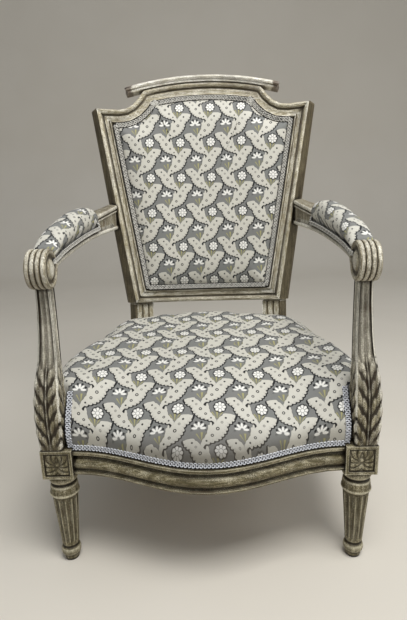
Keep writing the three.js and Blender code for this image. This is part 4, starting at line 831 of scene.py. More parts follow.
def support_grid(out):
    """An arm support: rings round four faces, fluted above and carved with a leaf below,
    with a bead up its front inner corner."""
    rows = np.array(SUPPORT_ROWS)
    up = np.linspace(0, 1, SUPPORT_STEPS)
    inner, outer, front, rear, fluted, leafed = (
        evened(column, np.ones(7) / 7)[:, None] for column in read_off(up, rows[:, 0], rows[:, 1:]).T)
    low_x = SUPPORT_MIDDLE + inner * SUPPORT_HALF
    high_x = SUPPORT_MIDDLE + outer * SUPPORT_HALF
    low_y, high_y = front * SUPPORT_DEPTH, rear * SUPPORT_DEPTH
    share = np.linspace(0, 1, FACE_STEPS + 1)[:-1]
    edge = np.abs(2 * share - 1)
    hollow = -FLUTE_DEPTH * np.abs(np.sin(SUPPORT_FLUTES * np.pi * share)) ** 0.75
    corners = [(low_x, low_y), (high_x, low_y), (high_x, high_y), (low_x, high_y), (low_x, low_y)]
    normals = [(0, -1), (1, 0), (0, 1), (-1, 0)]
    corner_share = [share, np.ones_like(share), np.ones_like(share), 1 - share]
    sides, depths = [], []
    for number, (normal, corner) in enumerate(zip(normals, corner_share)):
        (start_x, start_y), (end_x, end_y) = corners[number:number + 2]
        bead = bell(corner - 0.05, 0.045) * smooth_share(up, 0.1, 0.3)[:, None]
        carved = leaf_relief(up[:, None], edge[None, :]) * (number != 2) * (1 - bead)
        relief = fluted * hollow + leafed * carved * (1 - edge ** 8) + bead * 1.4
        relief = relief - SUPPORT_ROUND * edge ** 7
        depths.append(fluted * (-hollow / FLUTE_DEPTH - 0.45) + leafed * (0.7 - carved / 2.2) - bead * 1.2)
        x = start_x * (1 - share) + end_x * share + normal[0] * relief
        y = start_y * (1 - share) + end_y * share + normal[1] * relief
        sides.append(np.stack([x, y], axis=-1))
    ring = np.concatenate(sides, axis=1)
    high = SUPPORT_LOW + up * (SUPPORT_HIGH - SUPPORT_LOW)
    points = np.stack([out * ring[..., 0], ring[..., 1],
                       np.broadcast_to(high[:, None], ring.shape[:2])], axis=-1)
    return points, np.clip(np.concatenate(depths, axis=1), -1, 1)


ROLL_HALF, ROLL_RADIUS, ROLL_OUT, ROLL_DEEP, ROLL_HIGH = 17.1, 34.6, 257.5, 15.0, 552.0
ROLL_SHRINK, ROLL_STEP_FROM = 0.13, 6.0
REEDS, REED_RISE = 4, 0.085
REED_STEPS, ROLL_STEPS = 10, 96
# Side of the roll: shares of its half width and of its radius, from the rim to the middle.
ROLL_SIDE = [(1, 0.9), (1, 0.8), (0.93, 0.77), (0.84, 0.7), (0.84, 0.55), (0.93, 0.48), (1.0, 0.42),
             (1.03, 0.3), (1.05, 0.15), (1.05, 0.01)]


def roll_grid(out):
    """The rolled end of an arm: rings from one side to the other, round reeds on its edge
    and a sunk channel round an eye on each side. Its radius shrinks with the turn."""
    reed = np.linspace(0, 1, REED_STEPS + 1)[:-1]
    round_share = half_round(2 * reed - 1, 1)
    reeds = [(-1 + 2 * (n + share) / REEDS, 1 - REED_RISE + REED_RISE * rise)
             for n in range(REEDS) for share, rise in zip(reed, round_share)] + [(1, 1 - REED_RISE)]
    profile = np.array([(-a, w) for a, w in ROLL_SIDE[::-1]] + reeds + ROLL_SIDE)
    aside, wide = profile[:, :1], profile[:, 1:]
    turn = np.linspace(0, 2 * np.pi, ROLL_STEPS, endpoint=False)
    ease = np.clip((turn - ROLL_STEP_FROM) / (2 * np.pi - ROLL_STEP_FROM), 0, 1)
    shrink = (1 - ROLL_SHRINK * turn / (2 * np.pi)) * (1 - ease) + ease
    radius = wide * ROLL_RADIUS * shrink
    grid = np.stack([np.broadcast_to(out * (ROLL_OUT + aside * ROLL_HALF), radius.shape),
                     ROLL_DEEP + radius * np.cos(turn), ROLL_HIGH + radius * np.sin(turn)], axis=-1)
    sunk = np.where(wide > 0.9, 1.4 * (1 - wide) / REED_RISE - 0.6, (1 - np.abs(aside)) / 0.12 - 0.3)
    return grid, np.broadcast_to(np.clip(sunk, -0.8, 0.9), radius.shape)


# Stations of the arm: reach forward, spread outward, drop and half width as shares.
ARM_ROWS = [
    (0, 0, 0, 0.82), (0.08, 0.05, 0, 0.86), (0.186, 0.2, 0.02, 0.95), (0.21, 0.24, 0.03, 0.97),
    (0.26, 0.33, 0.05, 1), (0.34, 0.48, 0.09, 1.04), (0.44, 0.65, 0.17, 1.08), (0.54, 0.8, 0.3, 1.1),
    (0.64, 0.94, 0.46, 1.1), (0.74, 1.05, 0.63, 1.08), (0.83, 1.11, 0.8, 1.05), (0.92, 1.08, 0.96, 1.0),
    (1, 1, 1, 0.86),
]
ARM_REAR_OUT, ARM_SPREAD = 215.5, 42.0
ARM_REAR_DEEP, ARM_REACH = 407.0, 392.0
ARM_UNDER, ARM_DROP, ARM_SEAT, ARM_HALF = 582.0, 37.0, 15.0, 17.1
ARM_BRAID = 10.0
# Where the wood under the pad begins, and the steps along it, along the root and round them.
ARM_FROM, ARM_STEPS, ROOT_STEPS, ARM_SIDE_STEPS = 0.1, 80, 24, 49
# Where along the arm the pad ends at the rear, where its solid ends, and where the drawing
# forward stops; then its front end, and the height of the braid's arch over its rear end.
PAD_REAR, PAD_REAR_SOLID, PAD_STILL = 0.35, 0.186, 0.65
PAD_FRONT = 0.97
PAD_REAR_HIGH = 25.0
PAD_BRAID_DOWN, PAD_BRAID_OUT = 3.4, 1.8
# The bare root of the arm: its height at the stile and at the pad, and its beads.
ROOT_HIGH, ROOT_LOW = 56.0, 43.5
FOOT_BEAD, TOP_BEAD, SMALL_BEAD, SMALL_BEAD_DOWN, BEAD_RISE = 4.2, 4.6, 2.6, 13.0, 3.6


def arm_run(forward):
    """Places along an arm at shares of its reach: the middle of its underside, the
    direction square to it and its half width."""
    rows = np.array(ARM_ROWS)
    spread, drop, wide = read_off(forward, rows[:, 0], rows[:, 1:]).T
    middle = np.stack([ARM_REAR_OUT + spread * ARM_SPREAD, ARM_REAR_DEEP - forward * ARM_REACH,
                       ARM_UNDER - drop * ARM_DROP], axis=1)
    along = unit(np.gradient(middle[:, :2], axis=0))
    aside = np.stack([-along[:, 1], along[:, 0], np.zeros(len(along))], axis=1)
    return middle, aside, wide * ARM_HALF


def arm_grid(out, root=False):
    """The wood of an arm: rings round its section, with a bead along its foot; the root
    between the stile and the pad stands higher and has two more beads over a hollow."""
    forward = np.linspace(0, PAD_REAR, ROOT_STEPS) if root else np.linspace(ARM_FROM, 1, ARM_STEPS)
    middle, aside, half = arm_run(forward)
    rear_high, front_high = (ROOT_HIGH, ROOT_LOW) if root else (ARM_SEAT, ARM_SEAT)
    high = np.interp(forward, (0, PAD_REAR), (rear_high, front_high))
    high = high[:, None]
    up = np.linspace(0, 1, ARM_SIDE_STEPS)[None, :] * high
    lower = half_round(up - FOOT_BEAD, FOOT_BEAD)
    upper = half_round(up - high + TOP_BEAD, TOP_BEAD) * root
    between = half_round(up - high + SMALL_BEAD_DOWN, SMALL_BEAD) * root * 0.7
    bead = np.max([lower, upper, between], axis=0)
    wide = half[:, None] - BEAD_RISE + BEAD_RISE * bead
    sunk = np.where(bead > 0.55, -0.7, 0.0) + bell(bead - 0.12, 0.16) * 0.6 * (bead < 0.6)
    right = np.stack([wide, up], axis=-1)
    left = np.stack([-wide, up], axis=-1)[:, ::-1]
    ring = np.concatenate([right, left], axis=1)
    points = middle[:, None, :] + aside[:, None, :] * ring[..., :1]
    points[..., 2] += ring[..., 1]
    return points * [out, 1, 1], np.concatenate([sunk, sunk[:, ::-1]], axis=1)


for side_name, side in SIDES:
    add_wood("front_leg_turned_" + side_name, [leg_grid(side), block_grid(side)],
             OLD_PAINT[2], "aged_paint", "front_leg_" + side_name)
    add_wood("support_carved_" + side_name, [support_grid(side)],
             SUPPORT_PAINT, "aged_paint", "arm_support_" + side_name, 50.0)
    add_wood("arm_carved_" + side_name, [roll_grid(side), arm_grid(side), arm_grid(side, True)],
             ROLL_PAINT, "paint", "arm_" + side_name)


# Seat.

def front_depth(across):
    """Depth of the front rail's face: a half wave of the bow between the blocks."""
    share = np.minimum(np.abs(across) / BLOCK_INNER, 1)
    return FRONT_SETBACK - FRONT_BOW * (1 + np.cos(np.pi * share)) / 2


def side_line(count=200):
    """Outer line of a side rail: a cubic curve from the block to the rear post."""
    start = np.array([HALF_WIDTH - SIDE_SETBACK, BLOCK + FIT])
    end = np.array([POST_OUTER + FIT, RAIL_REAR])
    run = end[1] - start[1]
    first = start + [SIDE_BULGE, run * SIDE_PULL]
    second = np.array([HALF_WIDTH + REAR_BULGE, start[1] + run])
    return cubic(np.linspace(0, 1, count)[:, None], start, first, second, end)


SIDE = side_line()


def side_reach(depth):
    """Half width inside the side rails at a depth, read off the side line."""
    return np.interp(depth, SIDE[:, 1], SIDE[:, 0])


def edge_rise(distance, reach, power):
    """Rise of the stuffing from an edge: a quarter round that levels off at the reach."""
    left = 1 - np.clip(distance / reach, 0, 1)
    return (1 - left * left) ** power


def crown_height(across, depth):
    """Height of the seat: the product of its rises from the front, the side and the rear."""
    out = np.abs(across)
    ease = smooth_share(out / BLOCK_INNER, 0.35, 1)
    front = CROWN_FRONT + (CROWN_CORNER - CROWN_FRONT) * ease
    rear = CROWN_REAR + (CROWN_CORNER - CROWN_REAR) * smooth_share(out / POST_OUTER, 0.35, 1)
    side = CROWN_SIDE + (CROWN_SIDE_REAR - CROWN_SIDE) * smooth_share(depth / POST_REAR, 0.35, 0.75)
    rise = edge_rise(depth - front_depth(out) - SEAT_INSET, front, FRONT_ROUND)
    rise = rise * edge_rise(side_reach(depth) - SEAT_INSET - out, side, EDGE_ROUND)
    rise = rise * edge_rise(RAIL_REAR - SEAT_INSET - depth, rear, EDGE_ROUND)
    full = SEAT_CROWN - SEAT_WALL + SEAT_TILT * (depth - SEAT_CENTRE)
    return RAIL_TOP + FIT + SEAT_WALL + rise * full


def crown_slopes(across, depth):
    """Rise of the crown for a millimetre sideways and for a millimetre backwards."""
    return (crown_height(across + 0.5, depth) - crown_height(across - 0.5, depth),
            crown_height(across, depth + 0.5) - crown_height(across, depth - 0.5))


def run_table(places, heights, sense):
    """For rows of a profile, the length along it looked up by place plus height: a sum that
    grows evenly where the profile is steep and where it is level. Sense -1 is for falling."""
    steps = np.hypot(np.diff(places)[None, :], np.diff(heights, axis=1))
    run = np.concatenate([np.zeros((len(heights), 1)), np.cumsum(steps, axis=1)], axis=1)
    sums = places[None, :] + sense * heights
    even = np.linspace(sums.min(), sums.max(), 900)
    table = np.array([np.interp(even, row_sums, row_run) for row_sums, row_run in zip(sums, run)])
    return even, table


def read_table(rows, columns, table, row_at, column_at):
    """A value between the four nearest entries of an even table."""
    i = np.clip((row_at - rows[0]) / (rows[1] - rows[0]), 0, len(rows) - 1.001)
    j = np.clip((column_at - columns[0]) / (columns[1] - columns[0]), 0, len(columns) - 1.001)
    low_i, low_j = i.astype(int), j.astype(int)
    a, b = i - low_i, j - low_j
    return ((1 - a) * (1 - b) * table[low_i, low_j] + a * (1 - b) * table[low_i + 1, low_j]
            + (1 - a) * b * table[low_i, low_j + 1] + a * b * table[low_i + 1, low_j + 1])


# How far the tables of cloth lengths reach, and the steepest slope that counts as crown.
CLOTH_FRONT, CLOTH_REAR, CLOTH_SIDE = -64, 410, 300
CROWN_SLOPE = 0.3


def seat_cloth_place(points, normals):
    """Cloth coordinates of the seat: lengths over the crown, sideways from its middle and
    backwards from its front edge, so that the pattern's rows stay level. On a steep flank
    only the length down that flank goes by the point's own height, and on the side flanks
    the rows run straight down from the crown."""
    x, depth, high = points.T
    out = np.abs(x)
    drawn = crown_height(x, depth)
    to_side, to_front, to_top = (normals ** 2).T
    facing_side = (to_side + 1e-4) / (to_side + to_front + 2e-4)
    high_side = drawn + (high - drawn) * facing_side
    high = drawn + (high - drawn) * (1 - facing_side)
    across = np.linspace(0, CLOTH_SIDE, 121)
    depths = np.linspace(CLOTH_FRONT, SEAT_CENTRE, 200)
    even, front_run = run_table(depths, crown_height(across[:, None], depths[None, :]), 1)
    total = np.interp(out, across, front_run.max(axis=1))
    left = total - read_table(across, even, front_run, out, depth + high)
    rear_depths = np.linspace(SEAT_CENTRE, CLOTH_REAR, 180)
    even, rear_run = run_table(rear_depths, crown_height(across[:, None], rear_depths[None, :]), -1)
    gone = read_table(across, even, rear_run, out, depth - high)
    middle = depths[depths > FRONT_SETBACK - FRONT_BOW + SEAT_INSET]
    level = np.hypot(np.diff(middle), np.diff(crown_height(0, middle))).sum() + SEAT_WALL
    v = level + np.where(depth < SEAT_CENTRE, -left, gone)
    inward = np.linspace(-CLOTH_SIDE, 0, 121)
    rows = np.linspace(CLOTH_FRONT, CLOTH_REAR, 160)
    even, side_run = run_table(inward, crown_height(inward[None, :], rows[:, None]), 1)
    total = np.interp(depth, rows, side_run.max(axis=1))
    u = total - read_table(rows, even, side_run, depth, high_side - out)
    along = np.linspace(CLOTH_FRONT, CLOTH_REAR, 240)
    slope = np.clip(np.gradient(crown_height(0, along), along), -CROWN_SLOPE, CROWN_SLOPE)
    run = np.cumsum(np.hypot(1, slope)) * (along[1] - along[0])
    straight = level + np.interp(depth, along, run) - np.interp(SEAT_CENTRE, along, run)
    steep = smooth_share(1 - np.sqrt(to_top), 0.25, 0.7)
    v += (straight - v) * steep * facing_side
    return np.stack([u * np.sign(x), v], axis=1)


def changed(piece, kind, **settings):
    """Runs one modifier on a piece and keeps its result."""
    modifier = piece.modifiers.new(kind.lower(), kind)
    for name, value in settings.items():
        setattr(modifier, name, value)
    evaluated(piece)


def remeshed(node, name, voxel):
    """A closed copy of a stuffed solid, rebuilt as an even net of this size."""
    piece = merged_copy(node, name)
    changed(piece, "REMESH", mode="VOXEL", voxel_size=voxel)
    return piece


PUFF_FRAMES = 20
PUFF = dict(quality=5, mass=0.3, use_pressure=True, tension_stiffness=30, compression_stiffness=30,
            shear_stiffness=15, bending_stiffness=4)


def stuffed(piece, times, pressure, cap):
    """Evens a net out, blows it up as cloth under a light pressure, by no more than cap
    at any point, and makes it twice as fine."""
    changed(piece, "SMOOTH", factor=0.5, iterations=times)
    before = points_of(piece)
    cloth = piece.modifiers.new("puff", "CLOTH")
    for name, value in PUFF.items():
        setattr(cloth.settings, name, value)
    cloth.settings.uniform_pressure_force = pressure
    cloth.settings.effector_weights.gravity = 0
    cloth.collision_settings.use_self_collision = False
    cloth.point_cache.frame_start = 1
    cloth.point_cache.frame_end = PUFF_FRAMES
    for step in range(1, PUFF_FRAMES + 1):
        bpy.context.scene.frame_set(step)
    evaluated(piece)
    bpy.context.scene.frame_set(1)
    moved = points_of(piece) - before
    far = np.linalg.norm(moved, axis=1, keepdims=True)
    move_points(piece, before + moved * np.minimum(1, cap / np.maximum(far, 1e-9)))
    changed(piece, "SUBSURF", levels=1, render_levels=1)
    shade_smooth(piece.data)


# The net's points within this height of the crown, and this far in from the edge, are
# moved onto it, by no more than the step.
TOP_HEIGHT, TOP_EDGE, TOP_LOW, TOP_STEP = 25, (25, 60), 8, 3
# Size of the seat's net, its turns of evening out, its pressure and how far it may swell.
SEAT_NET, SEAT_STUFFING = 0.006, (6, 3.0, 0.004)


def make_seat():
    """The seat's cover: a net round the solid, drawn onto the smooth crown and stuffed."""
    piece = remeshed("seat_cushion", "seat_cover", SEAT_NET)
    points = to_millimetres(points_of(piece))
    for _ in range(3):
        x, d, z = points.T
        left = z - crown_height(x, d)
        slope_x, slope_d = crown_slopes(x, d)
        inside = np.min([d - front_depth(x), RAIL_REAR - d, side_reach(d) - np.abs(x)], axis=0)
        high = (z > RAIL_TOP + FIT + SEAT_WALL + TOP_LOW) & (np.abs(left) < TOP_HEIGHT)
        size = 1 + slope_x ** 2 + slope_d ** 2
        step = np.clip(left / size, -TOP_STEP, TOP_STEP) * smooth_share(inside, *TOP_EDGE) * high
        points += np.stack([slope_x * step, slope_d * step, -step], axis=1)
    move_points(piece, placed(points))
    stuffed(piece, *SEAT_STUFFING)
    normals = rows_of(piece.data.vertex_normals, "vector")
    lay_uv(piece.data, seat_cloth_place(to_millimetres(points_of(piece)), normals))
    dress(piece, SEAT_CLOTH, ("seat_cushion",))
    return piece


SEAT_COVER = make_seat()
# A braid's rays start this far outside the cover, in metres, and the braid lies this far
# over it, in millimetres.
RAY_START = 0.03
BRAID_LIFT = 0.5


def laid_on_seat(path, outs):
    """Moves a path along its outward directions until it lies on the seat's cover: each
    point is the nearest crossing of its own ray, and the moves are evened out."""
    polygons = [tuple(face.vertices) for face in SEAT_COVER.data.polygons]
    tree = BVHTree.FromPolygons(points_of(SEAT_COVER).tolist(), polygons)
    moves = []
    for point, out in zip(placed(path), outs):
        found = tree.ray_cast(Vector(point + out * RAY_START), Vector(-out), 2 * RAY_START)[3]
        moves.append((RAY_START - found) / MM if found is not None else np.nan)
    moves = np.array(moves)
    known = ~np.isnan(moves)
    moves = np.interp(np.arange(len(moves)), np.arange(len(moves))[known], moves[known])
    return path + outs * (evened(moves, np.ones(5) / 5) + BRAID_LIFT)[:, None]


# Back.

def on_back(flat, behind):
    """Bends the flat drawing of the back round its radius and leans it by the rake."""
    turn, up = flat[:, 0] / BACK_RADIUS, flat[:, 1]
    deep = (BACK_RADIUS + behind) * np.cos(turn) - BACK_RADIUS * math.cos(LOWER_HALF / BACK_RADIUS)
    return np.stack([
        (BACK_RADIUS + behind) * np.sin(turn),
        BACK_FRONT + deep * math.cos(RAKE) + up * math.sin(RAKE),
        BACK_BOTTOM + up * math.cos(RAKE) - deep * math.sin(RAKE),
    ], axis=-1)


def back_outline(inset, count=220):
    """The frame's outline moved inward: arch, hollow, shoulder, side and lower edge."""
    arch_rise = ARCH_RISE - ARCH_CORNER
    radius = (ARCH_HALF ** 2 + arch_rise ** 2) / (2 * arch_rise)
    arch_x = np.linspace(0, ARCH_HALF, 25)
    arch = np.stack([arch_x, ARCH_RISE - radius + np.sqrt(radius ** 2 - arch_x ** 2)], axis=1)
    run, drop = SHOULDER_INNER - ARCH_HALF, ARCH_CORNER - SHOULDER_RISE
    control = np.array([
        [ARCH_HALF, ARCH_CORNER],
        [ARCH_HALF + run * HOLLOW_OUT, ARCH_CORNER - drop * HOLLOW_DOWN],
        [SHOULDER_INNER - run * HOLLOW_IN, SHOULDER_RISE], [SHOULDER_INNER, SHOULDER_RISE],
    ])
    hollow = cubic(np.linspace(0, 1, 17)[:, None], *control)
    corners = np.array([[SHOULDER_HALF, SHOULDER_RISE], [LOWER_HALF, 0.0]])
    half = np.concatenate([arch[:-1], hollow, corners])
    path = np.concatenate([half, half[:0:-1] * [-1, 1]])
    before = unit(path - np.roll(path, 1, axis=0))
    after = unit(np.roll(path, -1, axis=0) - path)
    one = np.stack([before[:, 1], -before[:, 0]], axis=1)
    two = np.stack([after[:, 1], -after[:, 0]], axis=1)
    even = 1 + np.sum(one * two, axis=1, keepdims=True)
    moved = path + (one + two) / even * inset
    closed = np.concatenate([moved, moved[:1]])
    length = run_of(closed)
    wanted = np.linspace(0, length[-1], count, endpoint=False)
    return read_off(wanted, length, closed)


def run_of(path):
    """Length along a path of points."""
    steps = np.linalg.norm(np.diff(path, axis=0), axis=1)
    return np.concatenate([[0], np.cumsum(steps)])


def distance_in(points, outline):
    """Distance of each point to the nearest side of an outline."""
    along = np.roll(outline, -1, axis=0) - outline
    best = np.full(len(points), 1e9)
    for a, d in zip(outline, along):
        share = np.clip(((points - a) @ d) / np.sum(d ** 2), 0, 1)
        best = np.minimum(best, np.linalg.norm(points - a - share[:, None] * d, axis=1))
    return best


PANEL_RINGS, PANEL_BACK, PANEL_HUB = 33, 5.0, 0.004
# Height of a panel's middle as a share of the shoulder's, then the powers that crowd its
# rings to the edge and round its dome.
PANEL_MIDDLE, RING_CROWDING, DOME_ROUND = 0.52, 1.5, 0.62


def panel(name, inset, lift, dome, reach, replaces, sign):
    """A stuffed panel: rings of the outline shrunk to its middle, raised by a dome that
    grows with the distance from the edge, and closed by a flat back."""
    edge = back_outline(inset)
    middle = np.array([0.0, SHOULDER_RISE * PANEL_MIDDLE])
    inner = middle + (edge - middle) * 0.5
    rings = [on_back(flat, lift - sign * PANEL_BACK) for flat in (inner, edge)]
    places = [inner, edge]
    for share in 1 - np.linspace(0, 1, PANEL_RINGS + 1)[:-1] ** RING_CROWDING:
        flat = middle + (edge - middle) * share
        away = distance_in(flat, edge) if share < 1 else np.zeros(len(flat))
        rise = dome * (1 - (1 - np.clip(away / reach, 0, 1)) ** 2) ** DOME_ROUND
        rings.append(on_back(flat, lift + sign * rise))
        places.append(flat)
    hub = middle + (edge - middle) * PANEL_HUB
    rings.append(on_back(hub, lift + sign * dome))
    places.append(hub)
    points, faces = skin(np.stack(rings))
    piece = add_piece(name, points, faces, BACK_CLOTH, "cover", np.concatenate(places), (replaces,))


panel("back_cover", inset=FACE_WIDTH + BRAID - 0.5, lift=1.0, dome=BACK_DOME, reach=62.0,
      replaces="back_pad", sign=-1)
panel("outside_back_cover", inset=OUTSIDE_INSET + FIT + 0.6, lift=OUTSIDE_BEHIND + 5.4, dome=2.4,
      reach=30.0, replaces="outside_back", sign=1)


# Arm pads.

def drawn_forward(points, side):
    """Moves the rear part of a pad forward along its arm, to where the braid ends it."""
    share = (ARM_REAR_DEEP - points[:, 1]) / ARM_REACH
    moved = np.interp(share, (PAD_REAR_SOLID - 0.1, PAD_REAR_SOLID, PAD_STILL, 1.1),
                      (PAD_REAR - 0.1, PAD_REAR, PAD_STILL, 1.1))
    shares = np.linspace(0, 1, 101)
    middle = arm_run(shares)[0]
    step = read_off(moved, shares, middle) - read_off(share, shares, middle)
    step[:, 1] = -(moved - share) * ARM_REACH
    return points + step * [side, 1, 1]


PAD_NET, PAD_STUFFING = 0.004, (5, 2.0, 0.002)
PAD_SLICES = 39
PAD_CLOTH_RIGHT, PAD_CLOTH_DOWN = 40.0, 0.8


def make_arm_pad(side_name, side):
    """An arm pad's cover: a net round the solid, stuffed. Its cloth coordinates run along
    its top line and from there down each side, both read off slices of its length."""
    node = "arm_pad_" + side_name
    piece = remeshed(node, "arm_cover_" + side_name, PAD_NET)
    stuffed(piece, *PAD_STUFFING)
    points = drawn_forward(to_millimetres(points_of(piece)), side)
    move_points(piece, placed(points))
    x, deep, high = points.T
    bins = np.linspace(deep.min(), deep.max(), PAD_SLICES + 1)
    slice_of = np.clip(np.digitize(deep, bins), 1, PAD_SLICES)
    slices = [slice_of == k for k in range(1, PAD_SLICES + 1)]
    centre = np.array([x[here].mean() if here.any() else 0 for here in slices])
    top = np.array([high[here].max() if here.any() else 0 for here in slices])
    middle = (bins[:-1] + bins[1:]) / 2
    v = np.interp(deep, middle, run_of(np.stack([middle, top], axis=1)))
    aside = x - np.interp(deep, middle, centre)
    u = aside + np.sign(aside) * (np.interp(deep, middle, top) - high) * PAD_CLOTH_DOWN
    lay_uv(piece.data, np.stack([u + PAD_CLOTH_RIGHT, v], axis=1))
    dress(piece, BACK_CLOTH, (node,))


for side_name, side in SIDES:
    make_arm_pad(side_name, side)


# Braid.

def tangents(path, closed):
    """The direction of a path at each of its points."""
    if closed:
        return unit(np.roll(path, -1, axis=0) - np.roll(path, 1, axis=0))
    return unit(np.gradient(path, axis=0))


def resampled(path, outs, count, closed):
    """The path at an even count of places, with its tangents and outward directions."""
    if closed:
        path, outs = np.concatenate([path, path[:1]]), np.concatenate([outs, outs[:1]])
    length = run_of(path)
    wanted = np.linspace(0, length[-1], count, endpoint=not closed)
    points, out = (read_off(wanted, length, rows) for rows in (path, outs))
    along = tangents(points, closed)
    out = unit(out)
    return points, along, unit(out - along * np.sum(out * along, axis=1, keepdims=True))


def cord(path, radius, sides, closed):
    """A tube round a path: rings square to it, turned as little as it allows."""
    along = tangents(path, closed)
    guide = np.where(np.abs(along[:, 2:3]) < 0.9, [[0.0, 0.0, 1.0]], [[1.0, 0.0, 0.0]])
    first = unit(np.cross(along, guide))[:, None, :]
    second = np.cross(along, first[:, 0])[:, None, :]
    turn = np.linspace(0, 2 * np.pi, sides, endpoint=False)[None, :, None]
    return path[:, None, :] + radius * (np.cos(turn) * first + np.sin(turn) * second)


LOOP, LOOP_STEPS, CORD_SIDES = 6.4, 12, 4
BAND_STEP, BAND_LOW, BAND_HIGH, BAND_FLAT = 4, -0.9, 0.35, 0.6
# The cord's sway along as a share of a loop and across as a share of the half width, its
# lift and the wave of that lift, and its radius as a share of the width.
SWAY_ALONG, SWAY_ACROSS, CORD_LIFT, CORD_WAVE, CORD_RADIUS = 0.22, 0.68, 1.0, 0.4, 0.1


def braid(name, path, outs, replaces, finishes, width=BRAID, closed=False):
    """Looped braid: a flat band, and over it a cord. The cord sways across by the cosine of
    the turn, and its place along has a sine of twice the turn added, so that it loops."""
    length = run_of(np.concatenate([path, path[:1]]) if closed else path)[-1]
    points, along, out = resampled(path, outs, max(int(length / BAND_STEP), 8), closed)
    side = np.cross(along, out)
    half = width / 2
    flat = half * BAND_FLAT
    section = [(-half, BAND_LOW), (half, BAND_LOW), (half, 0.0), (flat, BAND_HIGH),
               (-flat, BAND_HIGH), (-half, 0.0)]
    grid = np.stack([points + side * a + out * b for a, b in section], axis=1)
    add_piece(name + "_band", *skin(grid, closed), finishes[1], "braid", None, (replaces,), False)
    loops = max(int(round(length / LOOP)), 4)
    steps = loops * LOOP_STEPS
    points, along, out = resampled(path, outs, steps, closed)
    side = np.cross(along, out)
    turn = np.linspace(0, 2 * np.pi * loops, steps, endpoint=not closed)[:, None]
    line = points + along * (LOOP * SWAY_ALONG * np.sin(2 * turn))
    line = line + side * (half * SWAY_ACROSS * np.cos(turn))
    line = line + out * (CORD_LIFT + CORD_WAVE * np.cos(2 * turn))
    tube = cord(line, width * CORD_RADIUS, CORD_SIDES, closed)
    run, around = np.arange(steps) * 0.25, np.arange(CORD_SIDES) / CORD_SIDES
    place = np.stack(np.meshgrid(run, around, indexing="ij"), axis=-1)
    add_piece(name + "_cord", *skin(tube, closed), finishes[0], "braid", place.reshape(-1, 2))


# Height of the middle of the braid along the seat's foot.
FOOT_BRAID_HIGH = RAIL_TOP + 0.8 + BRAID / 2


def front_braid_path():
    """Along the foot of the seat's front, on the cover."""
    across = np.linspace(-BLOCK_INNER + 1, BLOCK_INNER - 1, 90)
    deep = front_depth(across)
    out = unit(np.stack([np.gradient(deep, across), np.full(90, -1.0), np.full(90, 0.12)], axis=1))
    path = np.stack([across, deep + SEAT_INSET, np.full(90, FOOT_BRAID_HIGH)], axis=1)
    return path + out, out


def side_braid_path(side):
    """Along the foot of the seat's side, on the cover."""
    line = side_line(60)
    along = unit(np.gradient(line, axis=0))
    out = np.stack([along[:, 1], -along[:, 0], np.zeros(60)], axis=1)
    path = np.stack([line[:, 0], line[:, 1], np.full(60, FOOT_BRAID_HIGH)], axis=1)
    path = path - out * (SEAT_INSET - 1.0)
    keep = (line[:, 1] > BLOCK + 2) & (line[:, 1] < RAIL_REAR - 3)
    return path[keep] * [side, 1, 1], out[keep] * [side, 1, 1]


def riser_path(side):
    """Up the edge of the cover beside an arm support: depths where the crown has each height."""
    across = NOTCH_OUT - BRAID / 2 - FIT
    depths = np.linspace(front_depth(across) + SEAT_INSET, 60, 400)
    wanted = np.linspace(RAIL_TOP + BRAID / 2, RISER_TOP, 44)
    depth = np.interp(wanted, np.maximum.accumulate(crown_height(across, depths)), depths)
    slope_x, slope_d = crown_slopes(across, depth)
    out = unit(np.stack([-slope_x, -slope_d, np.ones_like(depth)], axis=1))
    path = np.stack([np.full_like(depth, across), depth, wanted], axis=1) + out * 1.2
    return path * [side, 1, 1], out * [side, 1, 1]


def back_braid_path(inset, behind, sense):
    """Round the panel on the bent back, at a distance inside the frame's outline."""
    line = back_outline(inset, 400)
    here = on_back(line, behind)
    return here, on_back(line, behind + sense) - here


def pad_braid_path(side):
    """Round the foot of an arm pad: forward on its outer side, back on its inner side, and
    in an arch over its rear end."""
    forward = np.linspace(PAD_REAR + 0.008, PAD_FRONT, 60)
    middle, aside, half = arm_run(forward)
    middle = middle + [0, 0, ARM_SEAT + ARM_BRAID / 2 - PAD_BRAID_DOWN]
    half = (half + PAD_BRAID_OUT)[:, None]
    turn = np.linspace(0, math.pi, 20)[1:-1, None]
    up = np.array([0, 0, 1])
    arch = middle[:1] - aside[:1] * half[0] * np.cos(turn) + up * PAD_REAR_HIGH * np.sin(turn)
    arch_out = up * np.sin(turn) - aside[:1] * np.cos(turn)
    path = np.concatenate([middle + aside * half, (middle - aside * half)[::-1], arch])
    outs = np.concatenate([aside, -aside[::-1], arch_out])
    return path * [side, 1, 1], outs * [side, 1, 1]


def seat_braid(name, replaces, path, outs):
    """A new braid laid on the seat's cover."""
    braid(name, laid_on_seat(path, outs), outs, replaces, NEW_BRAID)


seat_braid("front_braid", "seat_front_braid", *front_braid_path())
for side_name, side in SIDES:
    seat_braid("side_braid_" + side_name, "seat_side_braid_" + side_name, *side_braid_path(side))
    seat_braid("riser_braid_" + side_name, "seat_riser_braid_" + side_name, *riser_path(side))
# The back's and the arms' braids take the darker copy: painted shade with dirt.
path, outs = back_braid_path(FACE_WIDTH + BRAID / 2, -0.8, -1)
braid("back_edge_braid", path, outs, "back_braid", SHADED_SOILED_BRAID, closed=True)
path, outs = back_braid_path(OUTSIDE_INSET + BRAID / 2 + 0.5, OUTSIDE_BEHIND + 8.4, 1)
braid("outside_edge_braid", path, outs, "outside_back_braid", SHADED_SOILED_BRAID, closed=True)
for side_name, side in SIDES:
    path, outs = pad_braid_path(side)
    braid("arm_braid_" + side_name, path, outs, "arm_pad_braid_" + side_name, SHADED_SOILED_BRAID, ARM_BRAID, True)


# Under the seat.

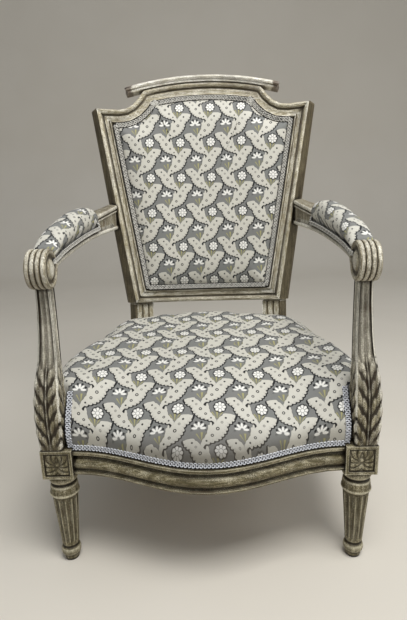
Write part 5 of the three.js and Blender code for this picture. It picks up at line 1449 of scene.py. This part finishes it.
for number in range(1, 7):
    carved_copy("long_strap_%d" % number, JUTE)
for number in range(1, 5):
    carved_copy("cross_strap_%d" % number, JUTE)
carved_copy("seat_base_cloth", HESSIAN)


# Studio.

SWEEP_RADIUS, SWEEP_REAR, SWEEP_FRONT, SWEEP_HALF, SWEEP_TOP = 1.2, 2.6, -6.0, 9.0, 6.0


def studio_sweep():
    """Floor that curves up into a backdrop: a profile carried sideways."""
    turn = np.linspace(0, math.pi / 2, 14)
    curve = [SWEEP_REAR + SWEEP_RADIUS * np.sin(turn), SWEEP_RADIUS * (1 - np.cos(turn))]
    profile = np.concatenate([
        [[SWEEP_FRONT, 0.0], [0.0, 0.0]], np.stack(curve, axis=1), [[SWEEP_REAR + SWEEP_RADIUS, SWEEP_TOP]],
    ])
    grid = np.array([[[x, y, z] for y, z in profile] for x in (-SWEEP_HALF, SWEEP_HALF)])
    mesh = bpy.data.meshes.new("studio")
    mesh.from_pydata(grid.reshape(-1, 3).tolist(), [], quads(2, len(profile)).tolist())
    shade_smooth(mesh)
    mesh.materials.append(plain_ground("studio_ground", "D8D2C6", "CCC5B7"))
    linked("studio", mesh)


def lamp(name, place, aim, size, power):
    """A soft rectangular lamp that looks at a point."""
    data = bpy.data.lights.new(name, "AREA")
    data.shape = "RECTANGLE"
    data.size, data.size_y = size
    data.energy = power
    made = linked(name, data)
    made.location = place
    made.rotation_euler = (Vector(aim) - Vector(place)).to_track_quat("-Z", "Y").to_euler()


# The photograph's viewpoint: its focal length in points of a picture 620 points high.
PICTURE_HIGH, FOCAL = 620.0, 487.0
SENSOR = 36.0
PITCH, YAW, ROLL = (math.radians(a) for a in (14.35, -1.7, -1.85))
EYE = (0.023, FRONT_Y - 0.75, 0.675)


def photo_camera():
    """A camera that looks ahead, down by the pitch, aside by the yaw, and leans by the roll."""
    ahead = Vector((math.sin(YAW) * math.cos(PITCH), math.cos(YAW) * math.cos(PITCH), -math.sin(PITCH)))
    right = Vector((math.cos(YAW), -math.sin(YAW), 0))
    up = right.cross(ahead)
    leaned_right = math.cos(ROLL) * right + math.sin(ROLL) * up
    leaned_up = -math.sin(ROLL) * right + math.cos(ROLL) * up
    data = bpy.data.cameras.new("camera")
    data.sensor_width = SENSOR
    data.lens = SENSOR * FOCAL / PICTURE_HIGH
    data.clip_start, data.clip_end = 0.01, 100.0
    camera = linked("camera", data)
    matrix = Matrix((leaned_right, leaned_up, -ahead)).transposed().to_4x4()
    matrix.translation = Vector(EYE)
    camera.matrix_world = matrix
    bpy.context.scene.camera = camera


AIR_COLOUR, AIR_STRENGTH = (0.92, 0.95, 1.0, 1), 0.36

studio_sweep()
lamp("overhead", place=(0.4, -0.9, 2.3), aim=(0, 0.1, 0.5), size=(1.1, 0.9), power=43)
lamp("front", place=(1.2, -2.8, 2.2), aim=(0, 0, 0.45), size=(1.6, 1.4), power=6)
lamp("side", place=(2.7, -0.3, 1.9), aim=(0, 0, 0.5), size=(1.3, 1.5), power=18)
world = bpy.data.worlds.new("studio_air")
world.use_nodes = True
background = world.node_tree.nodes["Background"]
background.inputs[0].default_value = AIR_COLOUR
background.inputs[1].default_value = AIR_STRENGTH
bpy.context.scene.world = world
bpy.context.scene.view_settings.view_transform = "Standard"
photo_camera()
